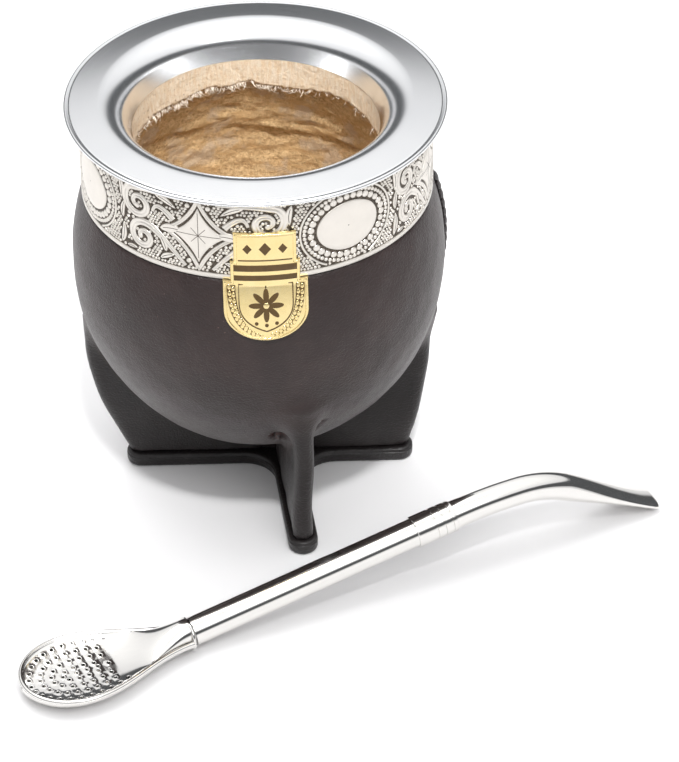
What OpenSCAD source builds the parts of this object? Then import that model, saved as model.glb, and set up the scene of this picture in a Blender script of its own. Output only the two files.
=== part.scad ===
// A mate gourd: a calabash cup in a leather cover that stands on four leather
// fins and a cross-shaped sole, with an engraved metal band and a wide flared
// rim. Its metal straw lies on the table in front of it.
// Millimetres, +Z up. The origin is on the floor, on the gourd's axis.
// The front, which carries the badge, faces -Y.

/* [Gourd] */
// Height from the floor to the top of the rim
total_h = 118; // [96:1:145]
// Largest outer diameter of the leather cover
body_d = 99.8; // [80:0.2:122]
// How much the radius shrinks from the widest point to the band's lower edge
neck_step = 3.9; // [2:0.1:7]
// Thickness of the dried calabash wall
gourd_wall = 7; // [4:0.5:9]
// Height of the pale scraped ring inside the mouth
ring_h = 8; // [5:0.5:12]
// How far the inside widens just below the scraped ring
ring_step = 1.5; // [0.5:0.1:3]

/* [Rim] */
// How far the rim reaches out past the band
rim_overhang = 3.6; // [1.5:0.1:8]
// Thickness of the rim's rounded lip
rim_t = 1.8; // [1.2:0.1:3]
// Width of the rim's flat top face
rim_face_w = 9.5; // [6:0.5:14]
// Width of the funnel between the flat face and the mouth
funnel_w = 8.1; // [5:0.1:11]
// Depth of the funnel
funnel_d = 8.6; // [6:0.1:12]
// Radius of the round shoulder between the face and the funnel
shoulder_r = 7; // [3:0.1:8]
// Thickness of the rim's inner edge
edge_t = 0.8; // [0.5:0.1:1.4]

/* [Band] */
// Height of the engraved band
band_h = 24.2; // [14:0.1:32]
// Thickness of the band's sheet
band_t = 0.8; // [0.6:0.1:1.5]
// How far the band stands out from the leather below it
band_proud = 0.4; // [0.2:0.1:1]
// Height of the plain strip along the band's lower edge
strip_low_h = 1.5; // [0.8:0.1:3]
// Height of the plain strip along the band's upper edge
strip_top_h = 1.1; // [0.8:0.1:3]
// Depth of the engraved field below the plain strips
field_depth = 0.25; // [0.1:0.05:0.4]

/* [Badge] */
// Height of the badge plate
badge_h = 30.6; // [20:0.2:38]
// Width of the badge at its upper panel
badge_top_w = 15.9; // [10:0.1:20]
// Width of the badge at its crossbar
badge_bar_w = 17.7; // [11:0.1:22]
// Height of the badge's upper panel
badge_panel_h = 8.6; // [5:0.1:11]
// Height of the badge's rounded lower end
badge_round_h = 8; // [5:0.1:9]
// Height of the badge's crossbar
badge_bar_h = 6; // [3:0.5:8]
// Width of the badge at its shield
badge_w = 21.7; // [14:0.1:28]
// Thickness of the badge plate
badge_t = 1; // [0.6:0.1:2]
// How far the badge's upper edge is below the band's upper edge
badge_drop = 9.5; // [6:0.5:12]
// Turn of the badge from the front, positive towards +X
badge_turn = 1.8; // [-20:0.2:20]

/* [Leather] */
// Thickness of the leather cover
leather_t = 2; // [1.2:0.1:3]
// Width of the laced seam
seam_w = 6; // [4:0.5:9]
// Height of the laced seam above the leather
seam_t = 1.5; // [0.8:0.1:2.5]
// Depth of the grooves between the lacing turns
seam_groove = 0.7; // [0.3:0.05:1]
// Number of lacing turns along the seam
seam_turns = 13; // [6:1:20]
// Turn of the seam from the front, positive towards +X
seam_turn = 97; // [60:1:150]

/* [Fins and sole] */
// Thickness of a leather fin
fin_t = 5.6; // [3:0.1:8]
// Height where the fins run out into the cover
fin_top = 50; // [36:1:60]
// Height where the fins reach out furthest
fin_wide_z = 40; // [28:1:46]
// Reach of the left fin at its foot
left_foot = 36.8; // [28:0.2:46]
// Reach of the left fin at its widest height
left_reach = 47.9; // [44:0.1:56]
// Reach of the right fin at its foot
right_foot = 40.4; // [28:0.2:46]
// Reach of the right fin at its widest height
right_reach = 46.2; // [44:0.1:56]
// Reach of the front fin at its foot
front_foot = 44.2; // [28:0.2:48]
// Reach of the front fin at its widest height
front_reach = 46; // [44:0.1:56]
// Sideways offset of the front and rear fins' plane from the axis
front_shift = 5.8; // [0:0.1:8]
// Turn of the front and rear fins, positive towards +X
front_turn = 6; // [-15:0.5:15]
// Thickness of the sole
sole_t = 4.3; // [3:0.1:8]
// Width of the sole's arms
sole_w = 8; // [6:0.1:12]
// How far the sole reaches past each fin's foot
sole_lip = 1.2; // [0:0.1:3]
// Radius of the blends between the sole's arms
sole_blend = 9; // [4:0.5:12]
// Height of the cover's lowest point above the sole
foot_gap = 11.4; // [6:0.1:16]

/* [Straw] */
// Diameter of the straw's tube
tube_d = 7.8; // [6:0.1:9]
// Length of the straight tube from the filter to the collar
tube_len = 67; // [50:1:90]
// Slope of the straight tube above the floor
tube_rise = 8.9; // [6:0.1:10]
// Length of the ringed collar
collar_len = 11.6; // [8:0.1:16]
// How far the collar stands out from the tube
collar_proud = 0.45; // [0.2:0.05:1]
// Radius of the long easy bend after the collar
easy_r = 118; // [100:1:170]
// Radius of the tight bend before the mouthpiece
bend_r = 32; // [24:1:40]
// Slope of the mouthpiece down to the floor
mouth_fall = 26; // [22:0.5:30]
// Width of the mouthpiece's flat end
mouth_w = 11; // [9:0.1:13]
// Thickness of the mouthpiece's flat end
mouth_t = 3.2; // [2.6:0.1:4]
// Length of the filter spoon
spoon_len = 46; // [38:0.5:55]
// Width of the filter spoon
spoon_w = 26.8; // [20:0.2:32]
// Height of the filter spoon's rolled edge above the floor
spoon_rim_z = 4.6; // [3.6:0.1:6]
// Width of the filter spoon's rolled edge
spoon_edge = 1.2; // [0.8:0.1:2]
// Depth of the dished sieve below the rolled edge
dish = 1.7; // [1:0.1:2.2]
// Thickness of the sieve plate
sieve_t = 0.9; // [0.6:0.1:1.2]
// Length of the filter spoon's round head
head_len = 15.2; // [12:0.1:20]
// Length over which the dish turns into the round neck
neck_turn = 20.7; // [16:0.1:26]
// How far the neck's flange stands out from the collar's radius
neck_flange = 0.6; // [0.3:0.1:1]
// Sideways place of the filter's neck
neck_x = -21.3; // [-40:0.1:0]
// Place of the filter's neck in front of the gourd
neck_y = -81; // [-100:0.5:-70]
// Turn of the straw on the floor
straw_turn = 24; // [10:0.5:32]

/* [Hidden] */

// Clearance between nested pieces
gap = 0.1;
// Angle between the points of a round profile
arc_step = 4;
$fn = 96;

// Gourd and cover: the cover is half an ellipse turned about Z. It passes
// through its lowest point and through the band's lower edge.
body_a = body_d / 2;
neck_r = body_a - neck_step;
bottom_z = sole_t + foot_gap;
band_top = total_h - rim_t - gap;
band_low = band_top - band_h;
body_b = (band_low - bottom_z) / (1 + sqrt(1 - pow(neck_r / body_a, 2)));
belly_z = bottom_z + body_b;

// Band and rim
band_r = neck_r + band_proud;
rim_r = band_r + rim_overhang;
face_r = rim_r - rim_face_w;
mouth_r = face_r - funnel_w;
funnel_z = total_h - funnel_d;

// Calabash
shell_a = body_a - leather_t - gap;
shell_b = body_b - leather_t - gap;
cavity_a = shell_a - gourd_wall;
cavity_b = shell_b - gourd_wall;
neck_out = band_r - band_t - gap;
ring_r = mouth_r + edge_t / 2;
ring_top = funnel_z - gap;
ring_low = ring_top - ring_h;
cavity_b_up = (ring_low - belly_z) / sqrt(1 - pow((ring_r + ring_step) / cavity_a, 2));

// Radius of the leather cover at height z
function cover_r(z) = body_a * sqrt(max(0, 1 - pow((z - belly_z) / body_b, 2)));

// Radius of the cover and the band together at height z
function outside_r(z) = max(cover_r(z), z > band_low - neck_step ? band_r : 0);

// Points of an ellipse about (0, z0) from angle a0 to a1, both ends included
function arc_pts(a, b, z0, a0, a1, x0 = 0) =
    let (n = max(2, ceil(abs(a1 - a0) / arc_step)))
    [for (i = [0 : n]) let (t = a0 + (a1 - a0) * i / n) [x0 + a * cos(t), z0 + b * sin(t)]];

// Points of the funnel from the face to the mouth: a round shoulder, then a straight cone
function funnel_pts(w, d, r) =
    let (last = 90 + atan2(d - r, w) - acos(r / norm([w, d - r])), n = ceil(last / arc_step))
    concat([for (i = [0 : n]) let (t = last * i / n)
               [face_r - r * sin(t), funnel_z + d - r + r * cos(t)]],
           [[face_r - w, funnel_z]]);

// Height angle of an ellipse's point at height z
function height_angle(b, z) = asin((z - belly_z) / b);

// A closed solid through a list of loops that all have the same even number of
// points. Its ends are closed by a ladder of triangles across the loop.
module loft(loops) {
    n = len(loops[0]);
    m = len(loops);
    sides = [for (j = [0 : m - 2], i = [0 : n - 1], k = [0, 1])
        let (a = j * n + i, b = j * n + (i + 1) % n)
        k == 0 ? [a, b + n, b] : [a, a + n, b + n]];
    last = (m - 1) * n;
    rungs = [for (i = [0 : n / 2 - 2]) each [[i, i + 1, n - 2 - i], [i, n - 2 - i, n - 1 - i]]];
    last_cap = [for (r = rungs) [last + r[0], last + r[2], last + r[1]]];
    polyhedron([for (l = loops) each l], concat(sides, rungs, last_cap));
}

// The dried gourd shell, open at the mouth
module calabash() {
    outer = arc_pts(shell_a, shell_b, belly_z, -90, height_angle(shell_b, band_low - gap));
    top = funnel_pts(funnel_w - edge_t - gap, funnel_d - rim_t - gap, shoulder_r - rim_t - gap);
    inner_up = arc_pts(cavity_a, cavity_b_up, belly_z, asin((ring_low - belly_z) / cavity_b_up), 0);
    inner_low = arc_pts(cavity_a, cavity_b, belly_z, -arc_step, -90);
    neck = [[neck_out, band_low - gap], [neck_out, total_h - rim_t - gap]];
    ring = [[mouth_r + edge_t + gap, ring_top], [ring_r, ring_top], [ring_r, ring_low]];
    color("tan") rotate_extrude() polygon(concat(outer, neck, top, ring, inner_up, inner_low));
}

// The leather sleeve round the gourd
module leather_cover() {
    top = band_low - 2 * gap;
    outer = arc_pts(body_a, body_b, belly_z, -90, height_angle(body_b, top));
    inner_a = body_a - leather_t;
    inner_b = body_b - leather_t;
    inner = arc_pts(inner_a, inner_b, belly_z, height_angle(inner_b, top), -90);
    color([0.24, 0.2, 0.19]) rotate_extrude() polygon(concat(outer, inner));
}

// The laced seam on the cover, one ridge for each turn of the lacing
module seam_braid() {
    low = fin_top + 1;
    high = band_low - 1;
    steps = seam_turns * 8;
    heights = [for (i = [0 : steps]) low + (high - low) * i / steps];
    outer = [for (i = [0 : steps])
        [cover_r(heights[i]) + seam_t - seam_groove * (1 - abs(sin(180 * i / 8))), heights[i]]];
    inner = [for (i = [0 : steps]) [cover_r(heights[steps - i]) + gap, heights[steps - i]]];
    spread = seam_w / body_a * 180 / PI;
    color([0.2, 0.17, 0.16]) rotate([0, 0, seam_turn - 90 - spread / 2])
        rotate_extrude(angle = spread) polygon(concat(outer, inner));
}

// One fin: a folded leather plate with a round nose that stands on the sole.
// It runs along +X from the middle, in the plane y = side, and ends on the cover.
fin_start = fin_t / 2 + front_shift;
fin_curve = 1.7; // how soon a nose swings out above its foot
fin_nose_steps = 8;
fin_levels = 20;

// Reach of a fin's nose at height z, from its foot to its widest height and in again
function fin_out(z, foot, reach) =
    let (u = (z - sole_t) / (fin_wide_z - sole_t), v = (z - fin_wide_z) / (fin_top - fin_wide_z))
    z < fin_wide_z ? foot + (reach - foot) * (1 - pow(1 - u, fin_curve))
             : reach - (reach - cover_r(fin_top) - 1) * v * v;

// Where a fin's back meets the cover at height z, at the distance c from the axis
function fin_in(z, c) = max(fin_start, sqrt(max(0, pow(cover_r(z) + gap, 2) - c * c)));

function fin_loop(z, foot, reach, side) =
    let (half = fin_t / 2,
         tip = max(fin_out(z, foot, reach), fin_in(z, side) + 0.6),
         nose = min(half, tip - fin_in(z, side) - 0.3))
    concat([[fin_in(z, side + half), side + half, z], [fin_in(z, side), side, z],
            [fin_in(z, side - half), side - half, z]],
           [for (i = [0 : fin_nose_steps]) let (t = -90 + 180 * i / fin_nose_steps)
               [tip - nose + nose * cos(t), side + half * sin(t), z]]);

module fin(foot, reach, side = 0) {
    start = asin(min(1, (fin_start - gap) / body_a));
    end = 90 + height_angle(body_b, fin_top);
    under = [sole_t, (sole_t + bottom_z) / 2];
    heights = concat(under, [for (i = [0 : fin_levels])
        belly_z - body_b * cos(start + (end - start) * i / fin_levels)]);
    color([0.16, 0.14, 0.14]) loft([for (z = heights) fin_loop(z, foot, reach, side)]);
}

module fin_front() {
    rotate([0, 0, front_turn - 90]) fin(front_foot, front_reach, front_shift);
}

module fin_left() {
    rotate([0, 0, 180]) fin(left_foot, left_reach);
}

module fin_right() {
    fin(right_foot, right_reach);
}

module fin_rear() {
    rotate([0, 0, front_turn + 90]) fin(front_foot, front_reach, -front_shift);
}

// The round end of one arm of the sole, with its middle at c and pointing at an angle
function sole_end(c, angle) =
    [for (i = [0 : 12]) let (t = angle - 90 + 15 * i) c + sole_w / 2 * [cos(t), sin(t)]];

// The blend between a side arm and a front or rear arm. sx and sy, 1 or -1, say
// on which side of the two arms it lies. Its arc touches both arms' edges.
function sole_corner(sx, sy) =
    let (far = sole_w / 2 + sole_blend,
         c = [(front_shift + sx * far - sy * far * sin(front_turn)) / cos(front_turn), sy * far],
         side_edge = -90 * sy,
         front_edge = sx > 0 ? front_turn - 180 * sy : front_turn,
         from = sx * sy > 0 ? side_edge : front_edge,
         to = sx * sy > 0 ? front_edge : side_edge)
    [for (i = [0 : 8]) let (t = from + (to - from) * i / 8) c + sole_blend * [cos(t), sin(t)]];

// The cross-shaped sole under the four fins
module sole() {
    reach = front_foot + sole_lip - sole_w / 2;
    along = [-sin(front_turn), cos(front_turn)];
    off = front_shift * [cos(front_turn), sin(front_turn)];
    outline = concat(
        sole_end([right_foot + sole_lip - sole_w / 2, 0], 0), sole_corner(1, 1),
        sole_end(off + reach * along, 90 + front_turn), sole_corner(-1, 1),
        sole_end([sole_w / 2 - left_foot - sole_lip, 0], 180), sole_corner(-1, -1),
        sole_end(off - reach * along, front_turn - 90), sole_corner(1, -1));
    color([0.14, 0.13, 0.13]) linear_extrude(sole_t - gap) polygon(outline);
}

// The flared metal rim with its round lip and the funnel into the mouth
module rim() {
    lip = rim_t / 2;
    top = funnel_pts(funnel_w, funnel_d, shoulder_r);
    bead = arc_pts(lip, lip, total_h - lip, 90, -90, rim_r - lip);
    under = funnel_pts(funnel_w - edge_t, funnel_d - rim_t, shoulder_r - rim_t);
    color("silver") rotate_extrude()
        polygon(concat([for (i = [len(top) - 1 : -1 : 0]) top[i]], bead, under));
}

// The engraved band: an engraved field between two plain strips
module band() {
    in_r = band_r - band_t;
    field_r = band_r - field_depth;
    color([0.85, 0.82, 0.76]) rotate_extrude() polygon([
        [in_r, band_low], [band_r, band_low], [band_r, band_low + strip_low_h],
        [field_r, band_low + strip_low_h], [field_r, band_top - strip_top_h],
        [band_r, band_top - strip_top_h], [band_r, band_top], [in_r, band_top]]);
}

// Half the badge's width at the distance y below its upper edge
function badge_half(y) =
    y <= badge_panel_h ? badge_top_w / 2 :
    y <= badge_panel_h + badge_bar_h ? badge_bar_w / 2 :
    badge_w / 2 * sqrt(1 - pow(max(0, y - badge_h + badge_round_h) / badge_round_h, 2));

// Places between y0 and y1, both ends included
function between(y0, y1, n) = [for (i = [0 : n]) y0 + (y1 - y0) * i / n];

badge_across = 8;
function badge_loop(y, z) =
    let (r = outside_r(z) + gap, half = badge_half(y),
         xs = between(-half, half, badge_across))
    concat([for (x = xs) let (t = asin(x / r)) [(r + badge_t) * sin(t), -(r + badge_t) * cos(t), z]],
           [for (i = [badge_across : -1 : 0]) let (t = asin(xs[i] / r)) [r * sin(t), -r * cos(t), z]]);

// The badge plate, bent to lie on the band and the cover
module badge() {
    step = 0.02;
    bar_y = badge_panel_h + badge_bar_h;
    round_y = badge_h - badge_round_h;
    ys = concat(between(0, badge_panel_h, 3), between(badge_panel_h + step, bar_y, 3),
                between(bar_y + step, round_y, 2),
                [for (t = [12 : 12 : 84]) round_y + badge_round_h * sin(t)]);
    top = band_top - badge_drop;
    color([0.9, 0.8, 0.5]) rotate([0, 0, badge_turn])
        loft([for (i = [len(ys) - 1 : -1 : 0]) badge_loop(ys[i], top - ys[i])]);
}

// Straw: the pieces lie along +X from the filter's neck and are then placed.
tube_r = tube_d / 2;
collar_r = tube_r + collar_proud;
neck_len = 1;
neck_z = collar_r + gap;
rise_len = tube_len + collar_len + 1;
straw_loop = 24;

// Where the easy bend starts, where it is level, and where the tight bend ends
easy_at = [rise_len * cos(tube_rise), neck_z + rise_len * sin(tube_rise)];
level_at = easy_at + easy_r * [sin(tube_rise), 1 - cos(tube_rise)];
fall_at = level_at + bend_r * [sin(mouth_fall), cos(mouth_fall) - 1];
mouth_len = (fall_at[1] - mouth_t / 2 * cos(mouth_fall)) / sin(mouth_fall);

module place_straw() {
    translate([neck_x, neck_y, 0]) rotate([0, 0, straw_turn]) children();
}

// A straight round bar along the rising line, from one distance to another
module rising(from, to, r) {
    translate([0, 0, neck_z]) rotate([0, 90 - tube_rise, 0])
        translate([0, 0, from]) cylinder(h = to - from, r = r);
}

// One round loop across the tube at the point p, where the tube's slope is a
function tube_loop(p, a) =
    [for (i = [0 : straw_loop - 1]) let (t = 360 * i / straw_loop)
        [p[0] - tube_r * sin(t) * sin(a), tube_r * cos(t), p[1] + tube_r * sin(t) * cos(a)]];

// Loops along a bend of radius r from the point p, as the slope falls from a0 to a1
function bend_loops(p, a0, a1, r, steps) =
    [for (i = [0 : steps]) let (a = a0 + (a1 - a0) * i / steps)
        tube_loop(p + r * [sin(a0) - sin(a), cos(a) - cos(a0)], a)];

// Half width of the spoon at x, from its tip at -spoon_len to the neck
function spoon_half(x) =
    let (wide = head_len - spoon_len, u = (x - wide) / (neck_len - wide), neck = collar_r + neck_flange)
    x < wide ? spoon_w / 2 * sqrt(max(0, 1 - pow((x - wide) / head_len, 2)))
             : neck + (spoon_w / 2 - neck) * (0.5 + 0.5 * cos(180 * u));

// How far the dish has turned into the round neck at x, from 0 to 1
function neckness(x) =
    let (u = min(1, max(0, (x + neck_turn) / (neck_turn + neck_len)))) u * u * (3 - 2 * u);

// Height of the rolled edge at x
function edge_z(x) = spoon_rim_z + (neck_z - spoon_rim_z) * neckness(x);

spoon_x = concat([for (i = [1 : 7]) head_len * (1 - cos(90 * i / 7)) - spoon_len],
                 [for (i = [1 : 12]) let (wide = head_len - spoon_len) wide + (neck_len - wide) * i / 12]);

// Points across the dish at x, from side to side: the underside of the sieve
// plate, or its top if lift is 1
across = 12;
function dish_pts(x, lift) =
    let (half = spoon_half(x) - spoon_edge, n = neckness(x), edge = 0.2,
         plate = sieve_t - edge + (collar_r - sieve_t) * n)
    [for (i = [0 : across]) let (t = 180 * i / across)
        [x, half * cos(t), edge_z(x) - dish * (1 - n) * sin(t) + lift * (edge + plate * sin(t))]];

// The shell reaches the floor where the spoon is wide and rises towards its tip
tip_depth = 0.35;
function bowl_loop(x) =
    let (half = spoon_half(x), roll = 0.3,
         deep = edge_z(x) * min(1, tip_depth + half / spoon_w * 1.6) - roll)
    concat(dish_pts(x, 0),
           [for (i = [0 : across]) let (t = 180 + 180 * i / across)
               [x, half * cos(t), edge_z(x) - roll + deep * sin(t)]]);

function sieve_loop(x) =
    let (low = dish_pts(x, 0))
    concat(dish_pts(x, 1), [for (i = [across : -1 : 0]) low[i]]);

// The filter's lower shell with its rolled edge
module straw_bowl() {
    color("silver") place_straw() loft([for (x = spoon_x) bowl_loop(x)]);
}

// The filter's dished upper plate, which carries the holes and closes over the neck
module straw_sieve() {
    color("gainsboro") place_straw() translate([0, 0, gap]) loft([for (x = spoon_x) sieve_loop(x)]);
}

// The straight tube between the filter and the collar
module straw_tube() {
    start = (neck_len + gap + tube_r * sin(tube_rise)) / cos(tube_rise);
    color("silver") place_straw() rising(start, tube_len, tube_r);
}

// The collar with its three raised rings
module straw_collar() {
    groove_w = 0.5;
    groove_depth = 0.25;
    pitch = collar_len / 5;
    color("gainsboro") place_straw() difference() {
        rising(tube_len, tube_len + collar_len, collar_r);
        for (i = [1 : 3]) {
            at = tube_len + collar_len / 4 + i * pitch;
            difference() {
                rising(at, at + groove_w, collar_r + 1);
                rising(at - 1, at + groove_w + 1, collar_r - groove_depth);
            }
        }
    }
}

// The bent tube between the collar and the mouthpiece
module straw_bend() {
    steps = 8;
    start = [(tube_len + collar_len) * cos(tube_rise), neck_z + (tube_len + collar_len) * sin(tube_rise)];
    tight = bend_loops(level_at, 0, -mouth_fall, bend_r, steps);
    color("silver") place_straw() loft(concat(
        [tube_loop(start, tube_rise)], bend_loops(easy_at, tube_rise, 0, easy_r, steps),
        [for (i = [1 : steps]) tight[i]]));
}

// One loop of the mouthpiece at the share u of its length, inset from its skin
function mouth_loop(u, inset) =
    let (f = u * u * (3 - 2 * u),
         half_w = tube_r + (mouth_w / 2 - tube_r) * f - inset,
         half_t = tube_r + (mouth_t / 2 - tube_r) * pow(f, 0.8) - inset,
         x = fall_at[0] + mouth_len * u * cos(mouth_fall),
         z = fall_at[1] - mouth_len * u * sin(mouth_fall))
    [for (i = [0 : straw_loop - 1]) let (t = 360 * i / straw_loop)
        [x + half_t * sin(t) * sin(mouth_fall), half_w * cos(t), z + half_t * sin(t) * cos(mouth_fall)]];

// The flattened mouthpiece with the slot in its end
module straw_mouthpiece() {
    wall = 0.6;
    slot = 0.8;
    steps = 12;
    color("silver") place_straw() loft(concat(
        [for (i = [0 : steps]) mouth_loop(i / steps, 0)],
        [mouth_loop(1, wall), mouth_loop(slot, wall)]));
}

calabash();
leather_cover();
seam_braid();
fin_front();
fin_left();
fin_right();
fin_rear();
sole();
rim();
band();
badge();
straw_bowl();
straw_sieve();
straw_tube();
straw_collar();
straw_bend();
straw_mouthpiece();
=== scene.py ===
"""The looks of the mate gourd and of the metal straw that lies in front of it.

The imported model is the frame. Finer pieces stand for its nodes: a turned rim and
calabash, a relief band, a badge, one leather skin over the body and the fins, a
laced seam, a sole, and a straw with a punched sieve. Sizes are millimetres, the
same as in the part's source. +Z is up and the front, with the badge, faces -Y.
"""

import math

import bpy
import numpy as np
from mathutils import Matrix, Vector
from mathutils.geometry import delaunay_2d_cdt


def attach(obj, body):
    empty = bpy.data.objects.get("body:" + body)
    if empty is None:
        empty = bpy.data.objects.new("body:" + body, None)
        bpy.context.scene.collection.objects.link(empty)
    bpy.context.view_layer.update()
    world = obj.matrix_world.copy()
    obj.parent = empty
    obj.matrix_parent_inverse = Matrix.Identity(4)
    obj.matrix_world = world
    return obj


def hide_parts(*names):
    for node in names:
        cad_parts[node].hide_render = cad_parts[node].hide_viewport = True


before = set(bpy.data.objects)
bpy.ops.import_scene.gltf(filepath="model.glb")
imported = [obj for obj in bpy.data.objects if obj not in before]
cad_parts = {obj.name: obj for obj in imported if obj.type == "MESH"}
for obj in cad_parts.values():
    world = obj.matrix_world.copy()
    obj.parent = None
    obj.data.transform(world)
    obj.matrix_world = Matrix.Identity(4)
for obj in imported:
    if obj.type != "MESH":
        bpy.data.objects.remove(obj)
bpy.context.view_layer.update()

MM = 0.001

# Sizes of the part
TOTAL_H = 118.0
BODY_A = 49.9
SOLE_T = 4.3
BOTTOM_Z = 15.7
LEATHER_T = 2.0
GAP = 0.1
RIM_T = 1.8
RIM_R = 50.0
FACE_R = 40.5
MOUTH_R = 32.4
FUNNEL_D = 8.6
SHOULDER_R = 7.0
EDGE_T = 0.8
BAND_R = 46.4
BAND_T = 0.8
BAND_TOP = TOTAL_H - RIM_T - GAP
BAND_LOW = BAND_TOP - 24.2
STRIP_LOW = 1.5
STRIP_TOP = 1.1
FIELD_DEPTH = 0.25
NECK_R = BAND_R - 0.4
RING_H = 8.0
RING_STEP = 1.5
CAVITY_A, CAVITY_B = 40.8, 45.8
RIM_LIP = 0.58
BODY_B = (BAND_LOW - BOTTOM_Z) / (1 + math.sqrt(1 - (NECK_R / BODY_A) ** 2))
BELLY_Z = BOTTOM_Z + BODY_B
FUNNEL_Z = TOTAL_H - FUNNEL_D
RING_R = MOUTH_R + EDGE_T / 2
RING_TOP = FUNNEL_Z - GAP
RING_LOW = RING_TOP - RING_H


# Meshes

def grid_faces(rows, cols, wrap_rows=False, wrap_cols=True):
    """The quads between the points of a grid of that many rows and columns."""
    a = np.arange(rows * cols).reshape(rows, cols)
    if wrap_rows:
        a = np.vstack([a, a[:1]])
    if wrap_cols:
        a = np.hstack([a, a[:, :1]])
    quads = np.stack([a[:-1, :-1], a[:-1, 1:], a[1:, 1:], a[1:, :-1]], -1)
    return quads.reshape(-1, 4).tolist()


class Shape:
    """The points and faces of one piece, gathered bit by bit."""

    def __init__(self):
        self.points, self.faces, self.looks, self.count = [], [], [], 0

    def add(self, points, faces, look=0):
        points = np.asarray(points, float).reshape(-1, 3)
        self.points.append(points)
        self.faces += [[i + self.count for i in f] for f in faces]
        self.looks += [look] * len(faces)
        self.count += len(points)
        return self

    def grid(self, points, wrap_rows=False, wrap_cols=True, look=0):
        """Adds a surface through rows of points."""
        points = np.asarray(points, float)
        return self.add(points, grid_faces(*points.shape[:2], wrap_rows, wrap_cols), look)

    def cap(self, loop, flip=False, look=0):
        """Adds one flat face across a loop of points."""
        order = list(range(len(loop)))
        return self.add(loop, [order[::-1] if flip else order], look)

    def closed(self, loops):
        """Adds a solid through loops, with flat ends."""
        return self.grid(loops).cap(loops[0], flip=True).cap(loops[-1])


def piece(name, shape, looks, stands_for=(), sharp=40):
    """Makes the object, which rides on the one body and may stand for CAD nodes."""
    mesh = bpy.data.meshes.new(name)
    mesh.from_pydata((np.concatenate(shape.points) * MM).tolist(), [], shape.faces)
    for look in looks:
        mesh.materials.append(look)
    mesh.polygons.foreach_set("material_index", shape.looks)
    mesh.shade_smooth()
    if sharp:
        mesh.set_sharp_from_angle(angle=math.radians(sharp))
    obj = bpy.data.objects.new(name, mesh)
    bpy.context.collection.objects.link(obj)
    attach(obj, "root")
    if stands_for:
        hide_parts(*stands_for)
    return obj


def turned(profile, angles):
    """Rows of points from a (radius, height) profile turned about Z."""
    r, z = np.asarray(profile, float).T
    x = r[:, None] * np.cos(angles)
    y = r[:, None] * np.sin(angles)
    return np.stack([x, y, np.broadcast_to(z[:, None], x.shape)], -1)


def around(count):
    """That many angles round a circle."""
    return np.linspace(0, 2 * math.pi, count + 1)[:-1]


def arc(a, b, x0, z0, start, end, count):
    """Points of an ellipse about (x0, z0), with angles in degrees."""
    t = np.radians(np.linspace(start, end, count))
    return np.stack([x0 + a * np.cos(t), z0 + b * np.sin(t)], -1)


def leftwards(way):
    """Unit steps to the left of each step of a flat way."""
    return np.stack([-way[:, 1], way[:, 0]], -1) / (np.linalg.norm(way, axis=1)[:, None] + 1e-9)


def looped(points):
    """The points with the first one again at the end."""
    return np.vstack([points, points[:1]])


def ripples(points, size, seed, count=14):
    """A smooth random value for each point, near -1 to 1, with waves of that size."""
    rng = np.random.default_rng(seed)
    aim = rng.normal(size=(count, 3))
    pace = 2 * math.pi / size * rng.uniform(0.6, 1.5, (count, 1))
    aim *= pace / np.linalg.norm(aim, axis=1)[:, None]
    return np.sin(points @ aim.T + rng.uniform(0, 2 * math.pi, count)).sum(-1) / math.sqrt(count)


def smooth(u):
    """0 to 1 with soft ends, for u from 0 to 1."""
    u = np.clip(u, 0, 1)
    return u * u * (3 - 2 * u)


def cover_r(z):
    """Radius of the leather cover at height z."""
    return BODY_A * np.sqrt(np.clip(1 - ((z - BELLY_Z) / BODY_B) ** 2, 0, None))


# Materials

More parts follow.
